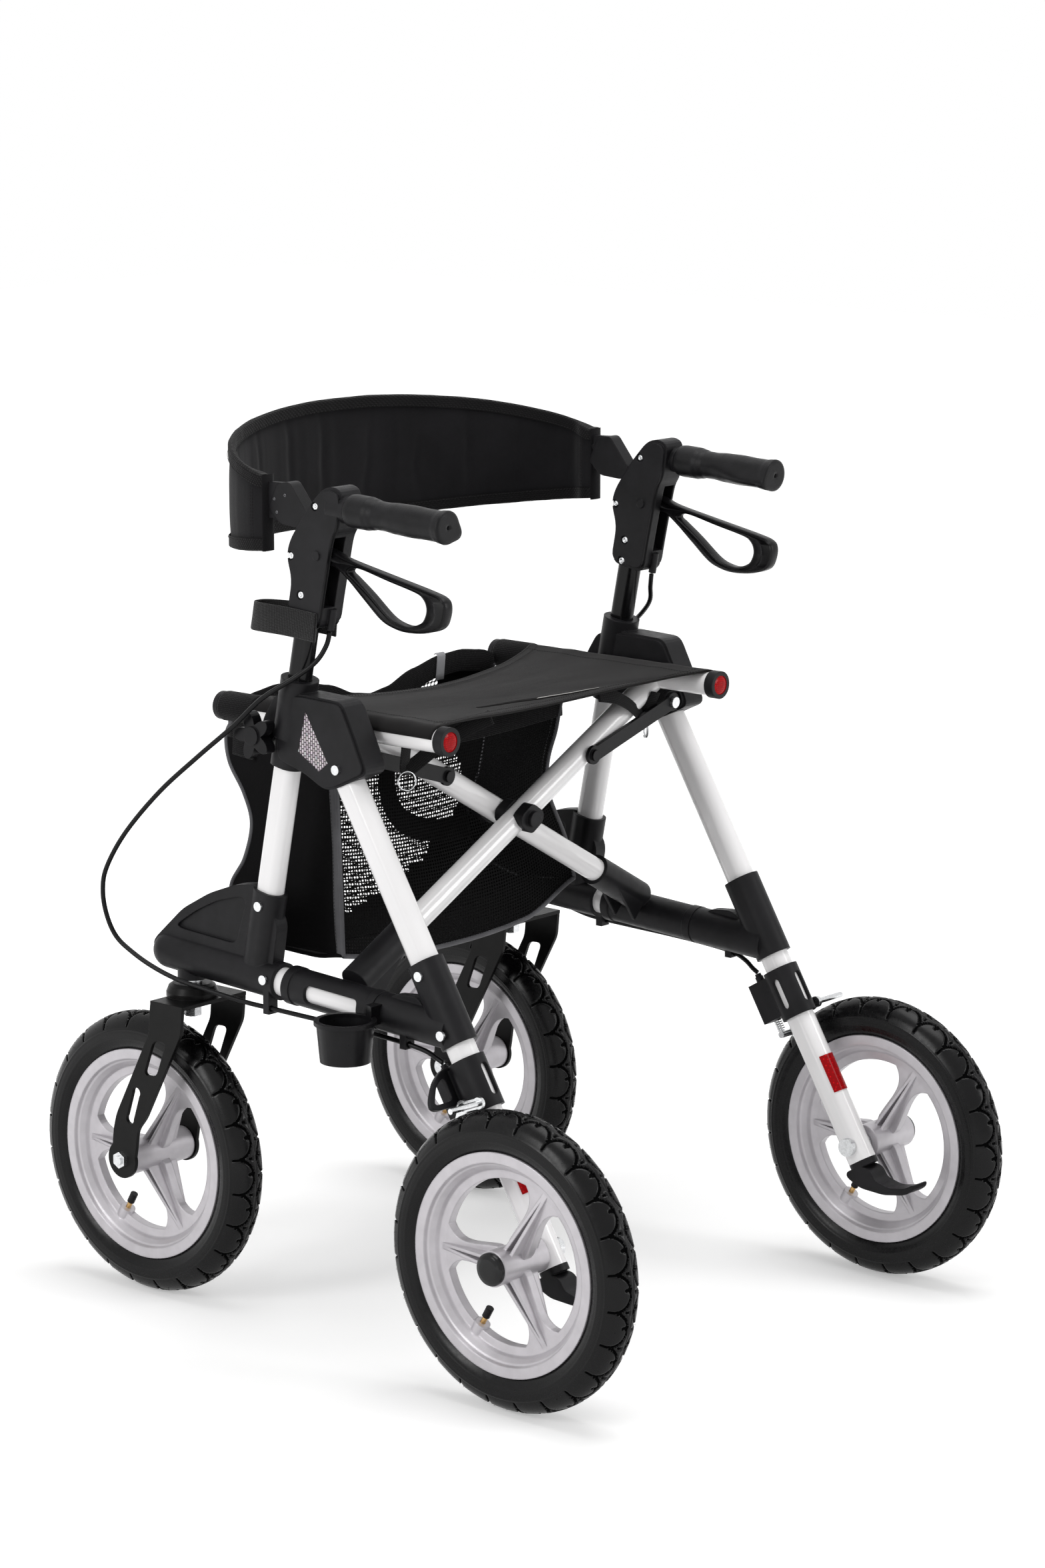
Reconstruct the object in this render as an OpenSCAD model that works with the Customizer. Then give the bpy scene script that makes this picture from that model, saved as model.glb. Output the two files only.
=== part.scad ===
// Outdoor rollator with a folding cross frame, four spoked pneumatic wheels and height-adjustable handles.
// Millimetres, +Z up, +Y forward, +X to the user's right, floor at zero.
// The right side is drawn and the left side is its mirror, apart from the cross frame.

/* [Overall] */
// distance between the middle planes of the two side frames
frame_w = 502; // [460:1:540]
// distance between rear and front axles with the casters facing forward
wheel_base = 543; // [500:1:600]

/* [Wheels] */
// outer diameter of the tyres
wheel_d = 300; // [280:1:310]
// greatest width of the tyres
tyre_w = 44; // [38:1:46]
// thickness of the tyre casing
tyre_wall = 4.5; // [3:0.5:6]
// diameter over the rim flanges
rim_d = 224; // [210:1:230]
// width over the rim flanges
rim_w = 38; // [32:1:38]
// hub diameter
hub_d = 36; // [32:1:42]
// length of a rear hub
rear_hub_l = 65; // [60:1:70]
// length of a front hub
front_hub_l = 84; // [80:1:84]
// distance between the middle planes of the rear wheels
rear_track = 597; // [590:1:610]
// wheel axle diameter
axle_d = 12; // [10:1:14]
// thickness of the flat web behind the spokes
web_t = 10; // [8:1:14]
// height of the spoke ribs at the hub, from the wheel plane
rib_rise = 20; // [14:1:24]
// thickness of a spoke rib
rib_t = 3.5; // [2.5:0.5:5]
// distance of a spoke rib from the spoke line at the hub
rib_root = 4.5; // [3.5:0.5:6]

/* [Casters] */
// distance of the front axle ahead of the swivel line
trail = 60; // [50:1:70]
// height of the fork crown plate
crown_z = 328; // [326:1:334]
// thickness of the fork plates
fork_t = 4; // [3:0.5:5]
// clear width between the fork legs
fork_gap = 86; // [86:1:92]
// stem bolt diameter
stem_d = 12; // [10:1:14]
// diameter of the bearing cup
cup_d = 54; // [46:1:56]
// height of the bearing cup
cup_h = 14; // [10:1:14]

/* [Side frame] */
// lean of the rear leg from upright
leg_tilt = 30.75; // [29:0.25:32]
// lean of the front upright
upright_tilt = 11.1; // [9:0.1:13]
// slope of the lower rail
rail_tilt = 3.18; // [1:0.02:5]
// height of the lower rail at the fold line
rail_z = 358; // [350:1:364]
// forward place of the fold line on the lower rail
fold_y = -10; // [-30:1:10]
// height of the clamp collar top
collar_z = 679; // [660:1:700]
// forward place of the clamp collar top
collar_y = 53; // [40:1:60]
// rear leg tube width
leg_w = 24; // [22:1:28]
// rear leg tube depth
leg_d = 32; // [28:1:36]
// upright tube width
upright_w = 22; // [20:1:26]
// upright tube depth
upright_d = 30; // [26:1:34]
// wall of the oval tubes
oval_wall = 1.6; // [1.2:0.1:2]
// lower rail tube diameter
rail_d = 30; // [26:1:32]
// wall of the round tubes
round_wall = 2; // [1.5:0.1:3]
// length of the rear leg above the axle
leg_top = 562; // [540:1:575]
// length of the rear leg below the axle
leg_toe = 18; // [16:1:24]

/* [Mouldings] */
// half thickness of the top bracket and the handle housing
body_half = 17; // [15:1:19]
// wall of the moulded sleeves
sleeve_t = 4; // [3:0.5:5]
// diameter of the clamp collar
collar_d = 39; // [36:1:42]
// length of the clamp collar
collar_l = 62; // [50:1:70]
// length of the top bracket
bracket_l = 130; // [120:1:140]
// height of the top bracket
bracket_h = 106; // [95:1:115]
// length of the front gusset along the rail
gusset_l = 180; // [170:1:190]
// height of the front gusset
gusset_h = 100; // [90:1:110]
// thickness of the gusset web
gusset_web = 16; // [12:1:20]
// depth of the panels sunk into the gusset web
panel_depth = 3.5; // [2:0.5:5]
// place of the gusset rear end ahead of the fold line
gusset_rear = 90; // [84:1:96]
// lower end of the tee sleeve along the leg
tee_lo = 219; // [210:1:225]
// upper end of the tee sleeve along the leg
tee_hi = 308; // [295:1:320]
// screw head diameter
screw_d = 10; // [8:0.5:12]
// screw head height
screw_h = 3; // [2:0.5:4]

/* [Cross frame] */
// cross tube and seat tube diameter
cross_d = 25.4; // [22:0.2:26]
// height of the cross point above the rail
cross_rise = 151.7; // [140:0.1:160]
// slope of the cross tubes
cross_angle = 29.03; // [27:0.01:31]
// distance between the planes of the two cross tubes
cross_gap = 32; // [31:0.5:36]
// distance between the seat tubes
seat_w = 426; // [410:1:430]
// height of the seat tubes
seat_z = 629; // [620:1:640]
// rear end of the seat tubes
seat_rear = -111; // [-120:1:-100]
// front end of the seat tubes
seat_front = 194; // [180:1:200]
// diameter of the sleeves on the lower rail
sleeve_d = 38; // [37:1:42]
// rear end of the rail sleeves from the fold line
sleeve_rear = -48; // [-54:1:-40]
// front end of the rail sleeves from the fold line
sleeve_front = 76; // [66:1:82]
// centre bolt diameter
pivot_d = 10; // [8:1:12]
// distance of the link bolt from the cross point
link_reach = 110; // [100:1:120]
// link bolt on the bracket, inboard of the side plane
link_in = 28; // [27.5:0.5:30]
// link bolt on the bracket, height above the fold line
link_rise = 244.5; // [242:0.5:247]
// link width
link_w = 20; // [16:1:24]
// link thickness
link_t = 4; // [3:0.5:4]
// link bolt diameter
link_bolt = 6; // [5:0.5:8]

/* [Handles] */
// length of the handle tube below the collar
handle_down = 190; // [170:1:194]
// top of the handle tube above the collar
handle_up = 88; // [80:1:92]
// housing height from its foot to its top
housing_h = 147; // [138:1:152]
// foot of the housing above the collar
housing_foot = 60; // [58:1:70]
// grip height at the root
grip_z = 855; // [845:1:862]
// grip root, forward
grip_root = -18; // [-24:1:-14]
// grip length
grip_l = 128; // [118:1:132]
// grip diameter
grip_d = 33; // [30:1:36]
// outward offset of grip and lever from the side plane
grip_out = 5; // [2:0.5:8]
// lever length behind its pin
lever_l = 166; // [155:1:170]
// lever thickness
lever_t = 14; // [12:0.5:15]
// lever pin diameter
lever_pin = 6; // [5:0.5:7]
// lever pin, forward of the tube line
lever_y = -14; // [-16:0.5:-12]
// lever pin, above the collar
lever_z = 134; // [130:1:138]

/* [Brake] */
// lower end of the brake housing along the leg
brake_lo = 149; // [146:1:152]
// upper end of the brake housing along the leg
brake_hi = 203; // [198:1:206]
// brake bar diameter
bar_d = 6; // [5:0.5:7]
// outward reach of the brake bar from the side plane
bar_reach = 62; // [56:1:66]
// cable diameter
cable_d = 5; // [4.5:0.1:5.5]
// spring outer diameter
spring_d = 9; // [8:0.2:10]
// spring wire diameter
spring_wire = 1.2; // [1:0.1:1.4]
// number of spring curls
spring_turns = 5; // [4:1:5]

/* [Seat] */
// front corners of the seat
sling_front = 150; // [140:1:156]
// rear corners of the seat
sling_rear = -100; // [-102:1:-90]
// how far the front edge draws in
front_draw = 52; // [30:1:60]
// how far the rear edge draws in
rear_draw = 34; // [20:1:45]
// sag of the seat
sling_sag = 12; // [4:1:20]
// thickness of the seat cloth
sling_t = 2.4; // [2:0.1:4]

/* [Basket] */
// basket width
basket_w = 404; // [390:1:406]
// rear face of the basket
basket_rear = 48; // [46:1:54]
// depth of the basket at the top
basket_d = 160; // [150:1:164]
// lowest point of the basket, at the middle of its floor
basket_z = 367; // [362:1:380]
// height of the basket above that point
basket_h = 231; // [220:1:236]
// how far the floor hangs below its corners
basket_sag = 27; // [10:1:34]
// wall of the basket
basket_t = 3; // [2:0.5:4]

/* [Backrest] */
// half width of the band over its middle line
band_half = 258; // [256:1:260]
// forward reach of the band
band_reach = 145; // [130:1:160]
// height of the band at its ends
band_h = 76; // [70:1:80]
// how much taller the band is at its middle
band_grow = 56; // [40:1:60]
// thickness of the band
band_t = 6; // [5:0.5:8]
// height of the band's middle line at its ends
band_z = 842; // [836:1:848]

/* [Cane cup] */
// diameter of the cane cup
cane_d = 58; // [54:1:58]
// depth of the cane cup
cane_h = 42; // [36:1:46]
// wall of the cane cup
cane_t = 2.5; // [2:0.1:3.5]

/* [Hidden] */

$fn = 64;
// clearances: turning fits, seated parts, parts that only pass each other
fit = 0.05;
seat_fit = 0.1;
pass = 0.3;
// a little more than any cut needs
over = 1;
// colours
white = [0.93, 0.94, 0.95];
black = [0.07, 0.07, 0.07];
silver = [0.72, 0.74, 0.76];
zinc = [0.60, 0.62, 0.64];
cloth = [0.10, 0.10, 0.11];
tread = [0.13, 0.13, 0.13];
red = [0.65, 0.02, 0.03];
brass = [0.70, 0.50, 0.22];

wheel_r = wheel_d / 2;
rim_r = rim_d / 2;
rear_y = -wheel_base / 2;
caster_y = wheel_base / 2 - trail;
hub_r = hub_d / 2;
axle_r = axle_d / 2;
stem_r = stem_d / 2;
cross_r = cross_d / 2;
rail_r = rail_d / 2;
sleeve_r = sleeve_d / 2;
screw_r = screw_d / 2;
shank_r = screw_r / 2;
shank_l = 3 * screw_h;

// where the leg crosses the rail, along the leg and along the rail
leg_cross = (rail_z - wheel_r + (rear_y - fold_y) * tan(rail_tilt))
    / (cos(leg_tilt) - sin(leg_tilt) * tan(rail_tilt));
tee_y = (rear_y + leg_cross * sin(leg_tilt) - fold_y) / cos(rail_tilt);
rail_rear = tee_y + leg_d / 2 / cos(leg_tilt) + rail_r * tan(leg_tilt + rail_tilt) + over;
// the rail stops behind the caster stem
rail_front = caster_y - fold_y - 2.2 * stem_d;
// foot of the upright above the rail
upright_run = 60;
foot_gap = 5;
foot_z = collar_z - rail_z - rail_r - (collar_y + upright_run - fold_y) * tan(rail_tilt) - foot_gap;
upright_foot = -foot_z / cos(upright_tilt);
upright_top = -6;

// rounded corners for hand-drawn outlines, each corner a short curve of n pieces
function mix(a, b, t) = a + (b - a) * t;
function corner(p, q, r, cut, n) = let (
        a = q + (p - q) * min(cut / norm(p - q), 0.45),
        b = q + (r - q) * min(cut / norm(r - q), 0.45))
    [for (i = [0:n]) mix(mix(a, q, i / n), mix(q, b, i / n), i / n)];
function soften(pts, cut, n = 4) = let (m = len(pts))
    [for (i = [0:m - 1]) each corner(pts[(i + m - 1) % m], pts[i], pts[(i + 1) % m], cut, n)];
function spread(shares, w, h) = [for (p = shares) [p[0] * w, p[1] * h]];
function middle(v) = (max(v) + min(v)) / 2;
function shrink(pts, f) = let (c = [for (k = [0, 1]) middle([for (p = pts) p[k]])])
    [for (p = pts) c + (p - c) * f];

module sided(side) mirror([side < 0 ? 1 : 0, 0, 0]) children();
module side_frame() translate([frame_w / 2, 0, 0]) children();
module leg_frame() side_frame() translate([0, rear_y, wheel_r]) rotate([-leg_tilt, 0, 0]) children();
module collar_frame() side_frame() translate([0, collar_y, collar_z]) children();
module upright_frame() collar_frame() rotate([upright_tilt, 0, 0]) children();
module fold_frame() translate([0, fold_y, rail_z]) rotate([rail_tilt, 0, 0]) children();
module rail_frame() side_frame() fold_frame() children();
module caster_frame() side_frame() translate([0, caster_y, 0]) children();
module front_axle() caster_frame() translate([0, trail, wheel_r]) children();
module rear_axle() translate([rear_track / 2, rear_y, wheel_r]) children();

module x_rod(r, x0, x1) translate([x0, 0, 0]) rotate([0, 90, 0]) cylinder(r = r, h = x1 - x0);
module y_rod(r, y0, y1) translate([0, y0, 0]) rotate([-90, 0, 0]) cylinder(r = r, h = y1 - y0);
module z_rod(r, z0, z1) translate([0, 0, z0]) cylinder(r = r, h = z1 - z0);
module yz_plate(pts, x0, x1) translate([x0, 0, 0]) rotate([90, 0, 90]) linear_extrude(x1 - x0) polygon(pts);
module yz_slab(x0, x1) translate([x0, 0, 0]) rotate([90, 0, 90]) linear_extrude(x1 - x0) children();
module xz_plate(pts, y0, y1) translate([0, y1, 0]) rotate([90, 0, 0]) linear_extrude(y1 - y0) polygon(pts);
module block(x0, x1, y0, y1, z0, z1) translate([x0, y0, z0]) cube([x1 - x0, y1 - y0, z1 - z0]);
module oval(w, d) {
    square([w, d - w], center = true);
    for (e = [-1, 1]) translate([0, e * (d - w) / 2]) circle(d = w);
}
module oval_rod(w, d, z0, z1) translate([0, 0, z0]) linear_extrude(z1 - z0) oval(w, d);
module oval_tube(w, d, wall, z0, z1) translate([0, 0, z0]) linear_extrude(z1 - z0) difference() {
    oval(w, d);
    oval(w - 2 * wall, d - 2 * wall);
}
// a plate with its outer edges stepped in, for moulded bodies
module soft_plate(pts, half, step, f) {
    yz_plate(pts, step - half, half - step);
    yz_plate(shrink(pts, f), -half, half);
}
// screw heads point along +x
module screw(x) {
    x_rod(screw_r, x, x + screw_h);
    x_rod(shank_r, x - shank_l, x);
}
module screw_hole(x) x_rod(shank_r + seat_fit, x - shank_l - over, x + over);

// side frame tubes
module upright() color(white) difference() {
    upright_frame() oval_tube(upright_w, upright_d, oval_wall, upright_foot, upright_top);
    gusset_spot(gusset_screws[0]) screw_hole(gusset_screws[0][2]);
}

module rear_leg() color(white) difference() {
    leg_frame() oval_tube(leg_w, leg_d, oval_wall, -leg_toe, leg_top);
    leg_frame() x_rod(axle_r + seat_fit, -leg_w, leg_w);
    for (s = tee_screws) leg_frame() translate([0, 0, s[0]]) screw_hole(s[1]);
    bracket_spot() screw_hole(body_half);
}

module lower_rail() color(white) difference() {
    rail_frame() y_rod(rail_r, rail_rear, rail_front);
    rail_frame() y_rod(rail_r - round_wall, rail_rear - over, rail_front + over);
    gusset_spot(gusset_screws[1]) screw_hole(gusset_screws[1][2]);
}

// top bracket: outline round the collar, shares of length and height from the collar top
bracket_shares = [[0.13, -0.16], [-0.09, -0.12], [-0.54, -0.14], [-0.66, -0.42], [-0.8, -0.78],
    [-0.47, -0.97], [-0.35, -1], [-0.13, -0.87], [0.15, -0.78], [0.15, -0.6]];
ear_shares = [[0.02, -0.16], [0.2, -0.17], [0.33, -0.42], [0.37, -0.58], [0.33, -0.7], [0.02, -0.72]];
lens_shares = [[-0.175, -0.274], [-0.407, -0.739], [-0.315, -0.827], [-0.095, -0.666]];
bracket_cut = 9;
edge_step = 3;
edge_share = 0.95;
ear_half = 9;
lens_depth = 1.5;
lens_share = 0.985;
knob_yz = [collar_y + 0.285 * bracket_l, collar_z - 0.556 * bracket_h];
knob_stud = 4;
slit = 1.5;
lug_t = 5.5;
lug_gap = 0.5;
lug_half = 11;
bracket_screw = [-0.5 * bracket_l, -0.78 * bracket_h];
module bracket_spot() collar_frame() translate([0, bracket_screw[0], bracket_screw[1]]) children();
// the left link lies behind the forward tube, the right one behind the rear tube
link_gap = 1.8;
link_plane = cross_r + link_t / 2 + link_gap;
upright_out = [upright_w + 2 * sleeve_t, upright_d + 2 * sleeve_t];
upright_in = [upright_w + seat_fit, upright_d + seat_fit];
leg_out = [leg_w + 2 * sleeve_t, leg_d + 2 * sleeve_t];
leg_in = [leg_w + seat_fit, leg_d + seat_fit];

module link_lug(side) {
    ly = -side * link_plane + link_t / 2 + lug_gap;
    rail_frame() translate([-link_in, 0, link_rise]) {
        y_rod(lug_half, ly, ly + lug_t);
        block(0, link_in - body_half / 2, ly, ly + lug_t, -lug_half, lug_half);
    }
}
module top_bracket(side) {
    pts = soften(spread(bracket_shares, bracket_l, bracket_h), bracket_cut);
    lens = spread(lens_shares, bracket_l, bracket_h);
    color(black) difference() {
        union() {
            collar_frame() {
                soft_plate(pts, body_half, edge_step, edge_share);
                yz_plate(soften(spread(ear_shares, bracket_l, bracket_h), bracket_cut), -ear_half, ear_half);
            }
            upright_frame() z_rod(collar_d / 2, -collar_l, 0);
            upright_frame() oval_rod(upright_out[0], upright_out[1], -1.5 * collar_l, -over);
            leg_frame() oval_rod(leg_out[0], leg_out[1], leg_top - bracket_h / 2, leg_top);
            link_lug(side);
        }
        upright_frame() oval_rod(upright_in[0], upright_in[1], -3 * collar_l, upright_top + seat_fit);
        upright_frame() oval_rod(upright_w - 2 * oval_wall, upright_d - 2 * oval_wall, -3 * collar_l, over);
        leg_frame() oval_rod(leg_in[0], leg_in[1], leg_top - 2 * bracket_h, leg_top + seat_fit);
        collar_frame() yz_plate(lens, body_half - lens_depth, body_half + over);
        collar_frame() block(-slit, slit, upright_d / 2, bracket_l, -bracket_h, 0);
        side_frame() translate([0, knob_yz[0], knob_yz[1]]) x_rod(knob_stud + fit, -frame_w, frame_w);
        bracket_spot() screw_hole(body_half);
        rail_frame() translate([-link_in, 0, link_rise]) y_rod(link_bolt / 2 + seat_fit, -frame_w, frame_w);
    }
    // prism reflector seated in its pocket
    color(silver) collar_frame()
        yz_plate(shrink(lens, lens_share), body_half - lens_depth + seat_fit, body_half - lens_depth / 3);
}

// star knob with its stud through the clamp ears
knob_arms = 5;
knob_steps = 80;
knob_r = 25;
knob_notch = 12;
knob_round = 0.7;
knob_gap = 0.8;
knob_in = collar_d / 2 + knob_gap;
knob_t = 12;
knob_dome = 2;
function knob_edge(a) = mix(knob_notch, knob_r, pow((1 + cos(knob_arms * a)) / 2, knob_round));
knob_pts = [for (i = [0:knob_steps - 1]) let (a = 360 * i / knob_steps)
    knob_edge(a) * [cos(a), sin(a)]];
module clamp_knob() color(black) side_frame() translate([0, knob_yz[0], knob_yz[1]]) {
    x_rod(knob_stud, -ear_half - knob_stud, knob_in + knob_stud);
    x_rod(2 * knob_stud, ear_half + pass, knob_in + knob_t / 2);
    yz_plate(knob_pts, knob_in, knob_in + knob_t);
    x_rod(knob_notch * 0.8, knob_in + knob_stud, knob_in + knob_t + knob_dome);
    x_rod(2 * knob_stud, -ear_half - pass - knob_stud - over, -ear_half - pass);
}

// front gusset, shares of its length along the rail and its height
gusset_shares = [[0.06, 0], [0.96, 0], [1, 0.02], [0.99, 0.1], [0.77, 0.5], [0.56, 0.74], [0.36, 0.9],
    [0.18, 0.97], [0.02, 0.6]];
panel_shares = [[0.34, 0.28], [0.78, 0.28], [0.82, 0.31], [0.66, 0.52], [0.5, 0.68], [0.32, 0.79],
    [0.27, 0.77]];
barrel_add = 0.5;
barrel_r = rail_r + sleeve_t + barrel_add;
boss_gap = 4;
boss_z = crown_z + cup_h + boss_gap;
boss_r = 15;
clip_near = 5;
clip_far = 18;
clip_x = [frame_w / 2 + clip_near, frame_w / 2 + clip_far];
gusset_spots = [[99, 441], [89, 367]];
gusset_screws = [concat(gusset_spots[0], [upright_out[0] / 2]), concat(gusset_spots[1], [barrel_r])];
module gusset_spot(p) side_frame() translate([0, p[0], p[1]]) children();
upright_lift = 0.99 * gusset_h;

module front_gusset() color(black) difference() {
    union() {
        rail_frame() difference() {
            union() {
                y_rod(barrel_r, gusset_rear, gusset_rear + gusset_l - barrel_r);
                translate([0, gusset_rear + gusset_l - barrel_r, 0]) sphere(barrel_r);
                translate([0, gusset_rear, 0])
                    yz_plate(soften(spread(gusset_shares, gusset_l, gusset_h), bracket_cut),
                        -gusset_web / 2, gusset_web / 2);
            }
            for (e = [-1, 1]) translate([e * gusset_web / 2, gusset_rear, 0])
                yz_plate(soften(spread(panel_shares, gusset_l, gusset_h), bracket_cut),
                    -panel_depth, panel_depth);
        }
        upright_frame()
            oval_rod(upright_out[0], upright_out[1], upright_foot - 2 * sleeve_t,
                upright_foot + 0.72 * gusset_h);
        caster_frame() z_rod(boss_r, boss_z, rail_z + stem_d);
        clip_block(0, clip_x, rail_z);
    }
    rail_frame() y_rod(rail_r + seat_fit, 0, rail_front + seat_fit);
    upright_frame() oval_rod(upright_in[0], upright_in[1], upright_foot - seat_fit, 0);
    caster_frame() z_rod(stem_r + fit, 0, stem_top + over);
    for (p = gusset_screws) gusset_spot(p) screw_hole(p[2]);
    clip_bore(0, [clip_lean[0], 0, 0]);
}
// clip under a moulding for the brake cable, and its bore
module clip_block(k, x, top)
    block(x[0], x[1], cable_clips[k] - clip_half, cable_clips[k] + clip_half, clip_low[k], top);
module clip_bore(k, turn) translate([cable_x(cable_clips[k]), cable_clips[k], cable_z(cable_clips[k])])
    rotate(turn) y_rod(cable_d / 2 + (2 + k) * pass, -leg_d, leg_d);

// rear tee on the leg, its barrel holds the rail
tee_gap = 0.5;
tee_end = sleeve_rear - tee_gap;
tee_x = leg_out[0] / 2;
tee_spots = [232, 295];
tee_screws = [[tee_spots[0], barrel_r], [tee_spots[1], tee_x]];
tee_clip_in = 4;
tee_clip_drop = 5;
module rear_tee() color(black) difference() {
    union() {
        leg_frame() oval_rod(leg_out[0], leg_out[1], tee_lo, tee_hi);
        rail_frame() y_rod(barrel_r, tee_y, tee_end);
        rail_frame() translate([0, tee_y, 0]) yz_plate(web_pts, -gusset_web / 3, gusset_web / 3);
        clip_block(1, [for (x = clip_x) x - tee_clip_in], rail_z - tee_clip_drop);
    }
    leg_frame() oval_rod(leg_in[0], leg_in[1], 0, leg_top);
    rail_frame() y_rod(rail_r + seat_fit, rail_rear - seat_fit, 0);
    for (s = tee_screws) leg_frame() translate([0, 0, s[0]]) screw_hole(s[1]);
    clip_bore(1, [clip_lean[1], 0, -clip_lean[1]]);
}
web_shares = [[0.2, 0], [0.92, 0], [0.86, 0.5], [0.5, 0.62]];
web_pts = soften(spread(web_shares, tee_end - tee_y, 2.2 * barrel_r), bracket_cut);

// brake housing on the leg: sleeve with slots, cable block in front, guard beside the tyre
block_deep = 26;
block_half = 10;
block_foot = 7;
block_head = 3;
block_lo = brake_lo + block_foot;
block_hi = brake_hi - block_head;
wire_gap = 15;
wire_n = leg_d / 2 + wire_gap;
collet_r = 4.4;
collet_l = 6;
screw_tube_r = 3.4;
cable_end_gap = 2;
arm_n = 10;
arm_s = 160;
arm_gap = 1.5;
arm_x = leg_out[0] / 2 + arm_gap;
arm_t = 4;
arm_pin = 4;
guard_gap = 4;
guard_t = 5;
guard_n = [leg_d / 2 + guard_gap, leg_d / 2 + guard_gap + guard_t];
guard_shares = [[0, 0], [0.85, 0], [1, 0.1], [0.93, 0.32], [0.62, 0.72], [0.3, 0.94], [0, 1]];
guard_hole_shares = [[0.18, 0.14], [0.78, 0.14], [0.5, 0.6], [0.18, 0.78]];
guard_l = 46;
guard_h = 40;
guard_cut = 6;
guard_rise = 16;
guard_s = brake_lo + guard_rise;
slot_w = 9;
slot_l = 34;
slot_s = (brake_lo + brake_hi) / 2;
// slot with round ends through the wall on one side of the sleeve
module wall_slot() {
    for (e = [-1, 1]) translate([0, 0, slot_s + e * (slot_l - slot_w) / 2]) rotate([90, 0, 0])
        translate([0, 0, -leg_d]) cylinder(d = slot_w, h = leg_d);
    translate([-slot_w / 2, 0, slot_s - (slot_l - slot_w) / 2]) cube([slot_w, leg_d, slot_l - slot_w]);
}
module brake_housing() color(black) leg_frame() difference() {
    union() {
        oval_rod(leg_out[0], leg_out[1], brake_lo, brake_hi);
        block(-block_half, block_half, 0, leg_d / 2 + block_deep, block_lo, block_hi);
        translate([0, wire_n, 0]) z_rod(collet_r, block_hi, block_hi + collet_l);
        translate([0, wire_n, 0]) z_rod(screw_tube_r, block_hi, cable_seat - cable_end_gap);
        translate([0, arm_n, arm_s]) x_rod(arm_pin, leg_w / 2 + sleeve_t / 2, arm_x + arm_t + over);
        translate([0, arm_n, arm_s]) x_rod(arm_pin * 1.6, leg_w / 2 + sleeve_t / 2, arm_x - pass);
        translate([block_half / 2, 0, guard_s])
            xz_plate(soften(spread(guard_shares, guard_l, guard_h), guard_cut), guard_n[0], guard_n[1]);
    }
    oval_rod(leg_in[0], leg_in[1], 0, leg_top);
    translate([block_half, 0, guard_s])
        xz_plate(soften(spread(guard_hole_shares, guard_l, guard_h), guard_cut),
            guard_n[0] - over, guard_n[1] + over);
    translate([0, wire_n, 0]) z_rod(spring_d / 2 - spring_wire, block_lo - over, block_lo + spring_d);
    for (a = [90, 180]) rotate([0, 0, a]) wall_slot();
}

// brake arm: pin, nipple end with its wire, bar over the tyre
nipple_s = 139;
nipple_r = 3.5;
wire_r = 0.9;
bar_n = -12;
bar_s = 156;
arm_half = 6;
arm_waist = 0.88 * arm_half;
// outline of one limb of the arm, from the pin to a round end
module arm_limb(n, s) {
    d = [n - arm_n, s - arm_s];
    translate([arm_n, arm_s]) rotate(atan2(d[1], d[0]))
        translate([0, -arm_waist]) square([norm(d), 2 * arm_waist]);
    translate([n, s]) circle(arm_half);
}
module brake_arm() color(zinc) leg_frame() difference() {
    union() {
        yz_slab(arm_x, arm_x + arm_t) {
            arm_limb(wire_n, nipple_s);
            arm_limb(bar_n, bar_s);
            translate([arm_n, arm_s]) circle(arm_half + over);
        }
        translate([0, bar_n, bar_s]) x_rod(bar_d / 2, arm_x + arm_t / 2, bar_reach);
        translate([0, wire_n, nipple_s]) x_rod(nipple_r, -nipple_r - over, arm_x + over);
        translate([0, wire_n, 0]) z_rod(wire_r, nipple_s, arm_s);
    }
    translate([0, arm_n, arm_s]) x_rod(arm_pin + fit, 0, frame_w);
}

// return spring between the block and the nipple, one unbroken tube
spring_rise = (block_lo - nipple_s - nipple_r - spring_wire - 2 * pass) / spring_turns;
spring_gap = norm([spring_rise, 0]) * cos(atan(spring_rise / (PI * (spring_d - spring_wire)))) - spring_wire;
echo(spring_self_gap_mm = spring_gap);
module brake_spring() color(zinc) leg_frame()
    translate([0, wire_n, nipple_s + nipple_r + spring_wire / 2 + pass])
    sweep([for (i = [0:8 * spring_turns]) let (a = 45 * i)
        [(spring_d - spring_wire) / 2 * cos(a), (spring_d - spring_wire) / 2 * sin(a), spring_rise * a / 360]],
        spring_wire / 2, 6, [0, 0, 1]);

// a round tube along points, rings set square to the run
function unit(v) = v / norm(v);
function tangent(p, i) = unit(p[min(i + 1, len(p) - 1)] - p[max(i - 1, 0)]);
module sweep(p, r, sides, side_axis) {
    m = len(p);
    rings = [for (i = [0:m - 1]) let (
            t = tangent(p, i),
            u = unit(cross(t, side_axis)),
            v = cross(u, t))
        each [for (k = [0:sides - 1]) let (a = 360 * k / sides) p[i] + r * (cos(a) * u + sin(a) * v)]];
    sides_faces = [for (i = [0:m - 2]) each [for (k = [0:sides - 1]) let (
            a = i * sides + k,
            b = i * sides + (k + 1) % sides)
        each [[a, b, b + sides], [a, b + sides, a + sides]]]];
    ends = [[for (k = [0:sides - 1]) sides - 1 - k], [for (k = [0:sides - 1]) (m - 1) * sides + k]];
    polyhedron(rings, concat(sides_faces, ends), convexity = 8);
}
// smooth run through hand-placed points
function run(p, n) = let (m = len(p)) concat([for (i = [0:m - 2]) let (
        a = p[max(i - 1, 0)],
        b = p[i],
        c = p[i + 1],
        d = p[min(i + 2, m - 1)])
    each [for (k = [0:n - 1]) let (t = k / n)
        b + 0.5 * t * (c - a + t * (2 * a - 5 * b + 4 * c - d + t * (3 * b - a - 3 * c + d)))]],
    [p[m - 1]]);

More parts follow.
